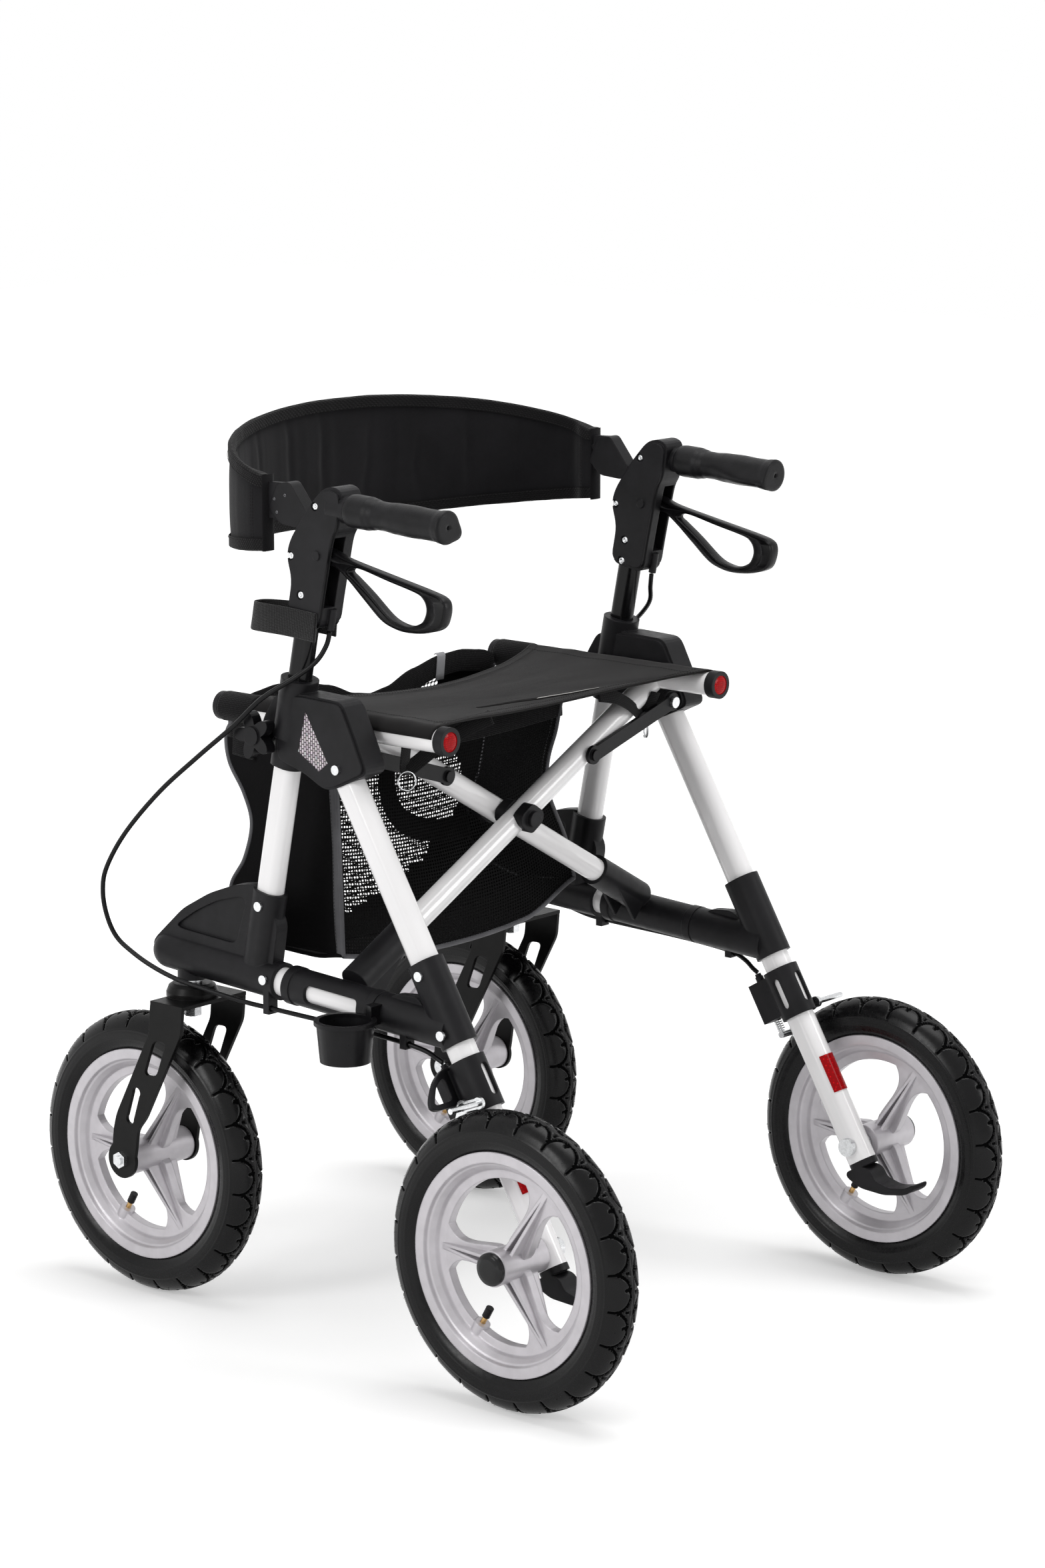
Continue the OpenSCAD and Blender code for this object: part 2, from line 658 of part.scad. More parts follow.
// brake cable from the handle adjuster, forward loop, back under the rail to the brake block
cable_clips = [88, -96];
clip_half = 4;
clip_low = [331, 325];
clip_lean = [1.6, 6];
cable_seat = 211;
cable_end = [frame_w / 2, rear_y + wire_n * cos(leg_tilt) + cable_seat * sin(leg_tilt),
    wheel_r - wire_n * sin(leg_tilt) + cable_seat * cos(leg_tilt)];
cable_route = [
    [251, 12, 730], [253, 15, 716], [261, 22, 700], [271, 40, 684], [285, 74, 660], [291, 108, 629],
    [294, 156, 592], [297, 208, 550], [299, 256, 502], [300, 284, 462], [300, 291, 436], [299, 287, 410],
    [297, 275, 388], [293, 254, 373], [288, 230, 361], [283, 202, 352], [277, 170, 346], [271, 138, 341],
    [267, 112, 338], [265, 88, 337], [264, 44, 336], [263, -6, 335], [262, -56, 333], [260, -96, 330],
    [255, -118, 325], [252, -130, 319]];
function cable_near(y) = [for (p = cable_route) if (p[1] == y && p[2] < rail_z) p][0];
function cable_x(y) = cable_near(y)[0];
function cable_z(y) = cable_near(y)[2];
cable_points = run(concat(cable_route, [cable_end]), 3);
echo(cable_length_mm = len_of(cable_points));
function len_of(p) = sum([for (i = [1:len(p) - 1]) norm(p[i] - p[i - 1])]);
function sum(v, i = 0) = i < len(v) ? v[i] + sum(v, i + 1) : 0;
module brake_cable() color(black) sweep(cable_points, cable_d / 2, 8, [1, 0, 0]);

// tipping pedal: plug in the foot of the leg and a blade to the rear
pedal_shares = [[0.14, 0.55], [-0.12, 0.86], [-0.26, 0.76], [-0.34, 0.42], [-0.6, 0.27], [-0.86, 0.4],
    [-1, 0.62], [-1, 0.4], [-0.86, 0.16], [-0.5, 0], [-0.1, 0.06], [0.14, 0.34]];
pedal_l = 76;
pedal_h = 30;
pedal_z = 106;
pedal_half = 12;
pedal_back = 8;
pedal_y = rear_y - pedal_back;
pedal_cut = 6;
pedal_foot = 7;
plug_gap = 2;
plug_w = leg_w - 2 * oval_wall - seat_fit;
plug_d = leg_d - 2 * oval_wall - seat_fit;
module tip_pedal() color(black) {
    leg_frame() oval_rod(leg_w, leg_d, -leg_toe - pedal_foot, -leg_toe);
    leg_frame() oval_rod(plug_w, plug_d, -leg_toe - over, -axle_r - plug_gap);
    side_frame() translate([0, pedal_y, pedal_z])
        yz_plate(soften(spread(pedal_shares, pedal_l, pedal_h), pedal_cut), -pedal_half, pedal_half);
}

// rear axle bolt with its nut, and the frame screws, as separate solids
nut_r = 9.5;
nut_h = 8;
nut_room = 12;
axle_end = rear_track / 2 + rear_hub_l / 2 - frame_w / 2 - over;
nut_under = 3;
hub_room = nut_h + nut_under;
axle_head = 6;
axle_washer = 2;
// red reflector strip behind the leg, as long along the leg as given
strip_s = [58, 99];
strip_half = 6.2;
strip_t = 0.8;
module frame_fasteners() color(zinc) {
    leg_frame() {
        x_rod(axle_r, -leg_w / 2 - over, axle_end);
        x_rod(1.6 * axle_r, -leg_w / 2 - axle_head, -leg_w / 2);
        x_rod(1.6 * axle_r, leg_w / 2, leg_w / 2 + axle_washer);
        rotate([0, 90, 0]) translate([0, 0, axle_end - nut_h - over]) cylinder(r = nut_r, h = nut_h, $fn = 6);
    }
    for (s = tee_screws) leg_frame() translate([0, 0, s[0]]) screw(s[1]);
    for (p = gusset_screws) gusset_spot(p) screw(p[2]);
    bracket_spot() screw(body_half);
    color(red) leg_frame() difference() {
        oval_rod(leg_w + 2 * strip_t, leg_d + 2 * strip_t, strip_s[0], strip_s[1]);
        oval_rod(leg_in[0], leg_in[1], strip_s[0] - over, strip_s[1] + over);
        block(-leg_w, leg_w, -(leg_d - leg_w) / 2 - strip_half, leg_d, strip_s[0] - over, strip_s[1] + over);
    }
}
// bolt that carries the lock link, with the frame screws of that side
module link_pin(side) {
    ly = -side * link_plane;
    color(zinc) rail_frame() translate([-link_in, 0, link_rise]) {
        y_rod(link_bolt / 2, ly - link_t / 2 - over, ly + link_t / 2 + lug_t + 2 * over);
        y_rod(link_bolt, ly - link_t / 2 - over - screw_h, ly - link_t / 2 - pass);
        y_rod(link_bolt, ly + link_t / 2 + lug_t + lug_gap, ly + link_t / 2 + lug_t + lug_gap + screw_h);
    }
}

// caster fork: crown plate, two legs with slots, bearing cup
fork_shares = [[0.24, 0], [-0.53, 0], [-0.48, -0.17], [0.4, -0.72], [0.6, -0.8], [0.66, -0.94], [0.7, -1],
    [1.25, -1], [1.2, -0.83], [1.12, -0.73], [0.29, -0.2]];
fork_cut = 6;
fork_slot_cut = 7;
slot_shares = [[0.18, -0.235], [-0.13, -0.23], [0.12, -0.45], [0.43, -0.455]];
fork_slot = [[37, 226], [47, 196], 5.5];
slot_waist = 0.94 * fork_slot[2];
fork_eye = 20;
crown_half = fork_gap / 2 + fork_t;
cup_r = cup_d / 2;
cup_bore = stem_r + seat_fit;
cup_section = [[cup_bore, 0], [cup_r, 0], [cup_r, cup_h / 3], [0.9 * cup_r, 0.8 * cup_h], [0.75 * cup_r, cup_h],
    [cup_bore, cup_h]];
module fork_leg() {
    yz_plate(soften(spread(fork_shares, trail, crown_z - wheel_r), fork_cut), -fork_t / 2, fork_t / 2);
    translate([0, trail, wheel_r - crown_z]) x_rod(fork_eye, -fork_t / 2, fork_t / 2);
}
module caster_fork() color(black) caster_frame() {
    difference() {
        union() {
            for (e = [-1, 1]) translate([e * (fork_gap + fork_t) / 2, 0, crown_z]) fork_leg();
            block(-crown_half, crown_half, fork_shares[1][0] * trail, fork_shares[0][0] * trail,
                crown_z - fork_t, crown_z);
            z_rod(boss_r, crown_z - 2.5 * fork_t, crown_z);
        }
        translate([0, 0, crown_z])
            yz_plate(soften(spread(slot_shares, trail, crown_z - wheel_r), fork_slot_cut), -fork_gap, fork_gap);
        for (p = [fork_slot[0], fork_slot[1]]) translate([0, p[0], p[1]])
            x_rod(fork_slot[2], -fork_gap, fork_gap);
        translate([0, fork_slot[0][0], fork_slot[0][1]])
            rotate([atan2(fork_slot[1][1] - fork_slot[0][1], fork_slot[1][0] - fork_slot[0][0]), 0, 0])
            block(-fork_gap, fork_gap, 0, norm(fork_slot[1] - fork_slot[0]), -slot_waist, slot_waist);
        z_rod(cup_bore, 0, frame_w);
        translate([0, trail, wheel_r]) x_rod(front_axle_r + seat_fit, -fork_gap, fork_gap);
    }
    translate([0, 0, crown_z]) rotate_extrude() polygon(cup_section);
}

// stem bolt, axle bolt and their nuts
front_axle_r = 5;
stem_over = 30;
stem_under = 22;
stem_top = rail_z + stem_over;
stem_low = crown_z - stem_under;
stem_nut = crown_z - 2.5 * fork_t - stem_low - over;
washer_r = 11;
axle_stub = 7;
axle_nut = 5;
module caster_bolts() color(zinc) caster_frame() {
    z_rod(stem_r, stem_low, stem_top);
    translate([0, 0, stem_low + over]) cylinder(r = 1.6 * stem_r, h = stem_nut, $fn = 6);
    difference() {
        z_rod(washer_r, crown_z + cup_h, boss_z - pass);
        z_rod(stem_r + seat_fit, crown_z, boss_z);
    }
    translate([0, trail, wheel_r]) {
        x_rod(front_axle_r, -crown_half - axle_stub, crown_half + axle_stub);
        x_rod(1.8 * front_axle_r, -crown_half - axle_nut, -crown_half);
        rotate([0, 90, 0]) translate([0, 0, crown_half])
            cylinder(r = 1.8 * front_axle_r, h = axle_nut, $fn = 6);
    }
}

// cast wheel: rim section, three double-ribbed spokes, hub
rim_shares = [[1, 1], [1, 0.84], [0.9375, 0.68], [0.9375, -0.68], [1, -0.84], [1, -1], [0.905, -1],
    [0.89, -0.8], [0.875, -0.76], [0.84, -0.5], [0.82, -0.3], [0.745, -0.26], [0.745, 0.26], [0.82, 0.3],
    [0.84, 0.5], [0.875, 0.76], [0.89, 0.8], [0.905, 1]];
web_spoke_shares = [[0.1, 0.12], [0.26, 0.11], [0.45, 0.085], [0.58, 0.09], [0.68, 0.15], [0.74, 0.26],
    [0.77, 0.26], [0.77, -0.26], [0.74, -0.26], [0.68, -0.15], [0.58, -0.09], [0.45, -0.085], [0.26, -0.11],
    [0.1, -0.12]];
spoke_cut = 10;
spokes = 3;
rib_end = 0.84;
rib_tip = 0.26;
module spoke() {
    linear_extrude(web_t, center = true) polygon(soften(spread(web_spoke_shares, rim_r, rim_r), spoke_cut, 3));
    for (e = [-1, 1]) translate([hub_r * 0.8, e * rib_root, 0])
        rotate([90, 0, -e * atan(0.7 * rib_root / (rib_end * rim_r - hub_r))])
        linear_extrude(rib_t, center = true) polygon([[0, -rib_rise], [0, rib_rise],
            [rib_end * rim_r - hub_r, rib_tip * rim_w / 2], [rib_end * rim_r - hub_r, -rib_tip * rim_w / 2]]);
}
// valve: boss on the inner ring, brass stem and its cap, toward the hub
valve_turn = 30;
valve_r = 2.7;
valve_boss_r = 8;
valve_low = 0.55 * rim_r;
valve_cap = 0.65 * rim_r;
valve_seat = 0.72 * rim_r;
valve_end = 0.84 * rim_r;
module valve_line() rotate([0, 0, valve_turn]) rotate([0, 90, 0]) children();
module valve() color(brass) valve_line() {
    z_rod(valve_r, valve_low + over, valve_end - over);
    z_rod(1.5 * valve_r, valve_low, valve_cap);
}
module rim(hub_l, bore, room) rotate([0, 90, 0]) {
    color(silver) difference() {
        union() {
            rotate_extrude($fn = 96) polygon(spread(rim_shares, rim_r, rim_w / 2));
            cylinder(r = hub_r, h = hub_l, center = true);
            for (k = [0:spokes - 1]) rotate([0, 0, 90 + 360 * k / spokes]) spoke();
            valve_line() z_rod(valve_boss_r, valve_seat, valve_end);
        }
        cylinder(r = bore + fit, h = 2 * hub_l, center = true);
        translate([0, 0, hub_l / 2 - room]) cylinder(r = nut_room, h = room + over);
        valve_line() z_rod(valve_r + seat_fit, hub_r + over, rim_r);
    }
    valve();
}
module front_rim() front_axle() rim(front_hub_l, front_axle_r, 0);
module rear_rim() rear_axle() rim(rear_hub_l, axle_r, hub_room);

// tyre casing on the rim, open toward the well
bead_gap = 0.3;
tyre_drop = 4;
tyre_mid = (wheel_r + rim_r) / 2 - tyre_drop;
tyre_up = wheel_r - tyre_mid;
bead_low = 0.9375 * rim_r + bead_gap;
bead_x = 0.68 * rim_w / 2 - 2 * bead_gap;
bead_top = 0.84 * rim_w / 2 - 2 * bead_gap;
lip_add = 0.5;
lip_x = bead_x - tyre_wall + lip_add;
tyre_from = asin((rim_r + bead_gap - tyre_mid) / tyre_up);
hollow_from = -acos(lip_x / (tyre_w / 2 - tyre_wall));
tyre_steps = 16;
function ring_point(a, wall) = [tyre_mid + (tyre_up - wall) * sin(a), (tyre_w / 2 - wall) * cos(a)];
tyre_section = concat([[bead_low, bead_x]], [[rim_r + bead_gap, bead_top]],
    [for (i = [0:tyre_steps]) ring_point(mix(tyre_from, 180 - tyre_from, i / tyre_steps), 0)],
    [[rim_r + bead_gap, -bead_top]], [[bead_low, -bead_x]], [[bead_low, -lip_x]],
    [for (i = [0:tyre_steps]) ring_point(mix(180 - hollow_from, hollow_from, i / tyre_steps), tyre_wall)],
    [[bead_low, lip_x]]);
module tyre() color(tread) rotate([0, 90, 0]) rotate_extrude($fn = 96) polygon(tyre_section);
module front_tyre() front_axle() tyre();
module rear_tyre() rear_axle() tyre();

cap_t = 7;
cap_shares = [[0, 0], [0.92, 0], [0.92, 0.4], [0.88, 0.62], [0.8, 0.8], [0.6, 0.96], [0.4, 1], [0, 1]];
module hub_cap() color(black) rear_axle() translate([rear_hub_l / 2, 0, 0]) rotate([0, 90, 0])
    rotate_extrude() polygon(spread(cap_shares, hub_r, cap_t));

// handle tube, slides in the upright
tube_w = upright_w - 2 * oval_wall - 2 * pass;
tube_d = upright_d - 2 * oval_wall - 2 * pass;
module handle_tube() color(black) upright_frame() oval_tube(tube_w, tube_d, oval_wall, -handle_down, handle_up);

// handle housing, shares of its height, from the foot on the tube line
housing_shares = [[0.1, 0], [0.1, 0.27], [0.18, 0.42], [0.17, 0.54], [0.06, 0.78], [-0.04, 0.95], [-0.14, 1],
    [-0.235, 0.98], [-0.245, 0.74], [-0.21, 0.66], [-0.2, 0.2], [-0.2, 0]];
lever_room_shares = [[-0.5, 0.16], [-0.14, 0.16], [0.02, 0.36], [0.04, 0.5], [-0.02, 0.64], [-0.5, 0.68]];
housing_cut = 11;
housing_step = 3.5;
adjuster_y = -31;
adjuster_r = 4;
adjuster_l = 22;
// pockets of the screws that clamp the two shells and hold the tube, from the tube line
shell_screws = [[-2.8, 181.5], [20, 124], [0, 89], [0, 66]];
pocket_r = 4.6;
pocket = 2;
lever_half = lever_t / 2 + over;
module handle_housing() color(black) upright_frame() difference() {
    union() {
        translate([0, 0, housing_foot])
            soft_plate(soften(spread(housing_shares, housing_h, housing_h), housing_cut),
                body_half, housing_step, edge_share);
        translate([0, adjuster_y, 0]) z_rod(adjuster_r, housing_foot, housing_foot + adjuster_l);
        horn();
        block(-adjuster_r, adjuster_r, adjuster_y, 0, housing_foot + adjuster_l / 3, housing_foot + adjuster_l);
    }
    oval_rod(tube_w + seat_fit, tube_d + seat_fit, 0, handle_up + seat_fit);
    translate([0, 0, housing_foot])
        yz_plate(spread(lever_room_shares, housing_h, housing_h), grip_out - lever_half, grip_out + lever_half);
    translate([0, lever_y, lever_z]) x_rod(lever_pin / 2 + seat_fit, -frame_w, frame_w);
    for (p = shell_screws) translate([0, p[0], p[1]]) {
        x_rod(pocket_r, body_half - pocket, body_half + over);
        x_rod(pocket_r, -body_half - over, pocket - body_half);
    }
}

// grip: waisted handle with finger waves and a palm wing
grip_shares = [[0, 0.82], [0.06, 1], [0.16, 1.02], [0.26, 0.84], [0.36, 0.9], [0.44, 0.98], [0.52, 0.9],
    [0.6, 0.98], [0.68, 0.9], [0.78, 1], [0.9, 0.98], [0.97, 0.9], [1, 0.7]];
wing_shares = [[0.3, 0], [0.98, 0], [0.97, 0.9], [0.9, 1.12], [0.72, 1.16], [0.56, 1], [0.42, 0.8]];
grip_drop = 2.5;
wing_t = 12;
wing_add = 3;
wing_cut = 8;
grip_gap = 5;
grip_eye = 1.6;
module grip_frame()
    translate([grip_out, grip_root - grip_gap, grip_z]) rotate([90 + grip_drop, 0, 0]) children();
// stub on the housing that carries the grip
horn_l = 24;
module horn() rotate([-upright_tilt, 0, 0]) translate([0, -collar_y, -collar_z]) grip_frame()
    z_rod(grip_shares[0][1] * grip_d / 2, -horn_l, -seat_fit);
grip_section = concat([[0, 0]], [for (p = grip_shares) [p[1] * grip_d / 2, p[0] * grip_l]], [[0, grip_l]]);
wing_pts = [for (p = soften(spread(wing_shares, grip_l, grip_d / 2 + wing_add), wing_cut)) [p[1], p[0]]];
module grip() color(black) side_frame() grip_frame() difference() {
    union() {
        rotate_extrude() polygon(grip_section);
        translate([0, wing_t / 3, 0]) rotate([90, 0, 0])
            linear_extrude(wing_t, center = true) polygon(wing_pts);
    }
    z_rod(grip_eye, grip_l - wing_t, grip_l + over);
}

// brake lever: closed finger loop on a pin in the housing
lever_shares = [[0.06, 0.02], [-0.02, 0.06], [-0.33, 0.01], [-0.9, -0.13], [-0.985, -0.185], [-1, -0.23],
    [-0.9, -0.35], [-0.76, -0.395], [-0.6, -0.41], [-0.18, -0.26], [-0.02, -0.14], [0.06, -0.06]];
loop_shares = [[-0.2, -0.085], [-0.76, -0.2], [-0.835, -0.235], [-0.85, -0.28], [-0.8, -0.335],
    [-0.6, -0.355], [-0.22, -0.215], [-0.18, -0.15]];
lever_cut = 8;
lever_step = 2.5;
lever_share = 0.97;
lever_at = [grip_out, collar_y + lever_y * cos(upright_tilt) - lever_z * sin(upright_tilt),
    collar_z + lever_y * sin(upright_tilt) + lever_z * cos(upright_tilt)];
module brake_lever() color(black) side_frame() translate(lever_at) difference() {
    union() {
        soft_plate(soften(spread(lever_shares, lever_l, lever_l), lever_cut),
            lever_t / 2, lever_step, lever_share);
        x_rod(lever_pin * 1.6, -lever_t / 2, lever_t / 2);
    }
    yz_plate(soften(spread(loop_shares, lever_l, lever_l), lever_cut), -lever_t, lever_t);
    x_rod(lever_pin / 2 + fit, -lever_t, lever_t);
}
module lever_bolt() color(zinc) upright_frame() translate([0, lever_y, lever_z]) {
    x_rod(lever_pin / 2, -body_half, body_half);
    x_rod(screw_r, body_half, body_half + screw_h / 2);
    x_rod(screw_r, -body_half - screw_h / 2, -body_half);
}

// backrest arm: root plate on the housing and end plate for the band
arm_root_shares = [[-0.045, 0.186], [0.36, 1.1], [0.62, 1.02], [0.8, 0.3], [0.56, -0.1], [0.092, -0.164]];
arm_plate_shares = [[0.36, 0.1], [0.4, 1.06], [0.92, 1.02], [1, 0.9], [0.98, 0.12], [0.9, 0]];
back_l = 66;
back_h = 36;
back_y = 38;
back_z = 836;
back_in = [-11, 4];
back_plate = [-3, 3.5];
back_cut = 5;
rib_spots = [[0.52, 0.5], [0.72, 0.5]];
rib_lean = -28;
rib_long = 22;
rib_wide = 5;
rib_high = 2.2;
module back_arm() color(black) side_frame() translate([0, back_y, back_z]) {
    yz_plate(soften(spread(arm_root_shares, back_l, back_h), back_cut), back_in[0], back_in[1]);
    yz_plate(soften(spread(arm_plate_shares, back_l, back_h), back_cut), back_plate[0], back_plate[1]);
    // slanting ribs over the hinge screws, on the inside
    for (p = spread(rib_spots, back_l, back_h)) translate([0, p[0], p[1]]) rotate([rib_lean, 0, 0])
        block(back_plate[0] - rib_high, 0, -rib_wide / 2, rib_wide / 2, -rib_long / 2, rib_long / 2);
}

// cross tube with its seat tube; lies in the fold plane at yo
tube_up = seat_w / 2 / cos(cross_angle);
foot_back = 20;
tube_foot = frame_w / 2 * cos(cross_angle) + cross_rise * sin(cross_angle) - foot_back;
module along_tube(yo) translate([0, yo, cross_rise]) rotate([0, 90 - cross_angle, 0]) children();
module cross_tube(yo) color(white) difference() {
    union() {
        fold_frame() along_tube(yo) z_rod(cross_r, -tube_foot, tube_up);
        translate([seat_w / 2, 0, seat_z]) y_rod(cross_r, seat_rear, seat_front);
    }
    fold_frame() along_tube(yo) z_rod(cross_r - round_wall, -tube_foot - over, tube_up - cross_d);
    translate([seat_w / 2, 0, seat_z]) y_rod(cross_r - round_wall, seat_rear - over, seat_front + over);
    fold_frame() translate([0, 0, cross_rise]) y_rod(pivot_d / 2 + fit, -frame_w, frame_w);
}

// sleeve that turns on the rail, with the socket of its cross tube and a window
socket_l = 84;
socket_r = cross_r + sleeve_t;
window_shares = [[-0.22, -0.25], [0.36, -0.25], [0.36, 0.25], [-0.22, 0.25]];
window_cut = 6;
lip_l = 10;
socket_end = 4;
rib_foot = 6;
socket_rib = [[0, -tube_foot], [1.7 * socket_r, rib_foot - tube_foot], [0, 0.8 * socket_l - tube_foot]];
module socket_line(yo) translate([-frame_w / 2, 0, 0]) mirror([1, 0, 0]) along_tube(yo) children();
module rail_sleeve(yo) color(black) rail_frame() difference() {
    union() {
        y_rod(sleeve_r, sleeve_rear, sleeve_front);
        for (y = [sleeve_rear, sleeve_front - lip_l]) y_rod(sleeve_r + over, y, y + lip_l);
        socket_line(yo) z_rod(socket_r, -tube_foot - socket_end, -tube_foot + socket_l);
        socket_line(yo) for (e = [-1, 1]) translate([0, e * 0.8 * socket_r, 0]) rotate([90, 0, 0])
            linear_extrude(sleeve_t, center = true) polygon(socket_rib);
    }
    y_rod(rail_r + fit, 2 * sleeve_rear, 2 * sleeve_front);
    socket_line(yo) z_rod(cross_r + fit, -tube_foot - seat_fit, 0);
    yz_plate(soften(spread(window_shares, sleeve_front - sleeve_rear, sleeve_d), window_cut), 0, sleeve_d);
}
// end ring behind, mushroom cap in front
ring_t = 2;
ring_r = cross_r + ring_t;
ring_lip = 3;
ring_l = 8;
lens_r = 0.8 * cross_r;
lens_shares_round = [[0, 0], [1, 0], [1, 0.5], [0.75, 0.85], [0.4, 1], [0, 1]];
lens_t = 2.6;
front_cap = 6;
front_plug = 9;
module seat_tube_ends() translate([seat_w / 2, 0, seat_z]) {
    color(black) difference() {
        y_rod(ring_r, seat_rear - ring_lip, seat_rear + ring_l);
        y_rod(cross_r + seat_fit, seat_rear, seat_rear + 2 * ring_l);
        y_rod(lens_r, seat_rear - ring_lip - over, seat_rear - over);
    }
    // red lens in the ring
    color(red) translate([0, seat_rear - over, 0]) rotate([90, 0, 0])
        rotate_extrude() polygon(spread(lens_shares_round, lens_r - seat_fit, lens_t));
    color(black) y_rod(ring_r, seat_front, seat_front + front_cap);
    color(black) y_rod(cross_r - round_wall - seat_fit, seat_front - front_plug, seat_front);
}
// bush beside a tube at the cross point
bush_r = 15;
bush_t = 6;
bush_cut = 5;
bush_shares = [[0, 1.1], [1.15, 0.35], [1.15, -0.35], [0, -1.1], [-1.15, -0.35], [-1.15, 0.35]];
bolt_head = 5;
bolt_r = 0.85 * pivot_d;
module pivot_frame() fold_frame() translate([0, 0, cross_rise]) children();
module bush(yo, y0, y1) difference() {
    pivot_frame() xz_plate(soften(spread(bush_shares, bush_r, bush_r), bush_cut), y0, y1);
    fold_frame() along_tube(yo) z_rod(cross_r + seat_fit, -frame_w, frame_w);
    pivot_frame() y_rod(pivot_d / 2 + fit, -frame_w, frame_w);
}
bush_rear = -cross_r - bush_t;
bush_front = cross_gap + cross_r + bush_t;
module rear_fittings() {
    sided(-1) rail_sleeve(0);
    seat_tube_ends();
    color(black) bush(0, bush_rear, -cross_r / 2);
    color(black) bush(0, cross_r / 2, cross_gap - cross_r - 2 * pass);
    color(zinc) pivot_frame() {
        y_rod(pivot_d / 2, bush_rear - over, bush_front + bolt_head + over);
        y_rod(bolt_r, bush_rear - bolt_head, bush_rear);
        y_rod(bolt_r, bush_front + pass, bush_front + bolt_head);
    }
}
module front_fittings() {
    rail_sleeve(cross_gap);
    sided(-1) seat_tube_ends();
    color(black) sided(-1) bush(cross_gap, cross_gap + cross_r / 2, bush_front);
}

// flat link from the top bracket to a cross tube
link_from = [frame_w / 2 - link_in, link_rise];
link_to = [link_reach * cos(cross_angle), cross_rise + link_reach * sin(cross_angle)];
link_run = link_to - link_from;
module lock_link(side) {
    ly = -side * link_plane;
    color(black) fold_frame() {
        translate([0, ly + link_t / 2, 0]) rotate([90, 0, 0]) linear_extrude(link_t) difference() {
            union() {
                for (p = [link_from, link_to]) translate(p) circle(link_w / 2);
                translate(link_from) rotate([0, 0, atan2(link_run[1], link_run[0])])
                    translate([0, -0.4 * link_w]) square([norm(link_run), 0.8 * link_w]);
            }
            translate(link_from) circle(link_bolt / 2 + fit);
        }
        translate([link_to[0], 0, link_to[1]]) y_rod(link_bolt, ly - link_t / 2 - screw_h, ly - link_t / 2);
    }
}

// seat cloth: sleeves round the seat tubes and a sagging sheet with drawn-in edges
hem_in = cross_r + pass;
hem_out = hem_in + sling_t;
sling_steps = 16;
function dip(x) = 1 - pow(2 * x / seat_w, 2);
function across(i) = mix(-seat_w / 2, seat_w / 2, i / sling_steps);
sling_line = [for (i = [0:sling_steps]) [across(i), seat_z + hem_out - sling_sag * dip(across(i))]];
sling_under = [for (i = [sling_steps:-1:0]) sling_line[i] - [0, sling_t]];
sling_back = [for (i = [0:sling_steps]) [across(i), sling_rear + rear_draw * dip(across(i))]];
sling_fore = [for (i = [sling_steps:-1:0]) [across(i), sling_front - front_draw * dip(across(i))]];
module tube_room(yo) fold_frame() along_tube(yo) z_rod(cross_r + ring_t, 0, tube_up);
module seat_sling() color(cloth) {
    difference() {
        union() {
            for (e = [-1, 1]) translate([e * seat_w / 2, 0, seat_z]) y_rod(hem_out, sling_rear, sling_front);
            intersection() {
                xz_plate(concat(sling_line, sling_under), sling_rear, sling_front);
                linear_extrude(2 * seat_z) polygon(concat(sling_back, sling_fore));
            }
        }
        for (e = [-1, 1]) translate([e * seat_w / 2, 0, seat_z]) y_rod(hem_in, 2 * sling_rear, 2 * sling_front);
        tube_room(0);
        mirror([1, 0, 0]) tube_room(cross_gap);
    }
}

// basket: open bag with loops on the seat tubes; its floor hangs between the corners
basket_shares = [[0, 1], [-0.01, 0.06], [0.04, 0], [0.6, 0.01], [0.84, 0.08], [0.95, 0.19], [0.975, 0.31],
    [0.83, 0.46], [0.78, 0.62], [0.87, 0.76], [0.99, 0.87], [0.985, 1.03], [0.89, 1.11], [0.69, 1.11],
    [0.64, 1]];
basket_inner_shares = concat([[0, 1.3]], [for (i = [1:12]) basket_shares[i]], [[0.89, 1.3]]);
basket_cut = 14;
basket_steps = 16;
loop_y = [158, 190];
// side outline and front outline of the bag; t is how far in from its outer face
function hang(i) = basket_sag * pow(abs(2 * i / basket_steps - 1), 2);
function bag_edge(t) = [for (i = [0:basket_steps])
    [mix(t - basket_w / 2, basket_w / 2 - t, i / basket_steps), basket_z + t + hang(i)]];
module bag(shares, t) intersection() {
    translate([0, basket_rear + t, basket_z + t])
        yz_plate(soften(spread(shares, basket_d - 2 * t, basket_h), basket_cut),
            t - basket_w / 2, basket_w / 2 - t);
    xz_plate(concat(bag_edge(t), [[basket_w / 2 - t, 2 * seat_z], [t - basket_w / 2, 2 * seat_z]]), 0, frame_w);
}
module basket() color(cloth) difference() {
    union() {
        bag(basket_shares, 0);
        for (e = [-1, 1]) translate([e * seat_w / 2, 0, seat_z]) y_rod(hem_out, loop_y[0], loop_y[1]);
    }
    bag(basket_inner_shares, basket_t);
    for (e = [-1, 1]) translate([e * seat_w / 2, 0, seat_z]) y_rod(hem_in, 0, frame_w);
}

// backrest band: half ellipse in plan, taller at its middle, slightly crowned
band_steps = 28;
band_tail = 34;
band_lift = 0.25;
band_section_shares = [[-0.3, -0.5], [0.3, -0.5], [0.5, -0.42], [0.5, 0.42], [0.3, 0.5], [-0.3, 0.5],
    [-0.5, 0.42], [-0.5, -0.42]];
function band_angle(i) = 180 * i / band_steps;
function band_mid(i) = [band_half * cos(band_angle(i)), band_start + band_reach * sin(band_angle(i))];
function band_out(i) = unit([cos(band_angle(i)) / band_half, sin(band_angle(i)) / band_reach]);
function band_tall(i) = band_h + band_grow * sin(band_angle(i));
function band_ring(p, n, h, lift) = [for (s = band_section_shares)
    [p[0] + n[0] * s[0] * band_t, p[1] + n[1] * s[0] * band_t, band_z + lift + s[1] * h]];
band_start = 100;
function band_rise(i) = band_lift * (band_tall(i) - band_h);
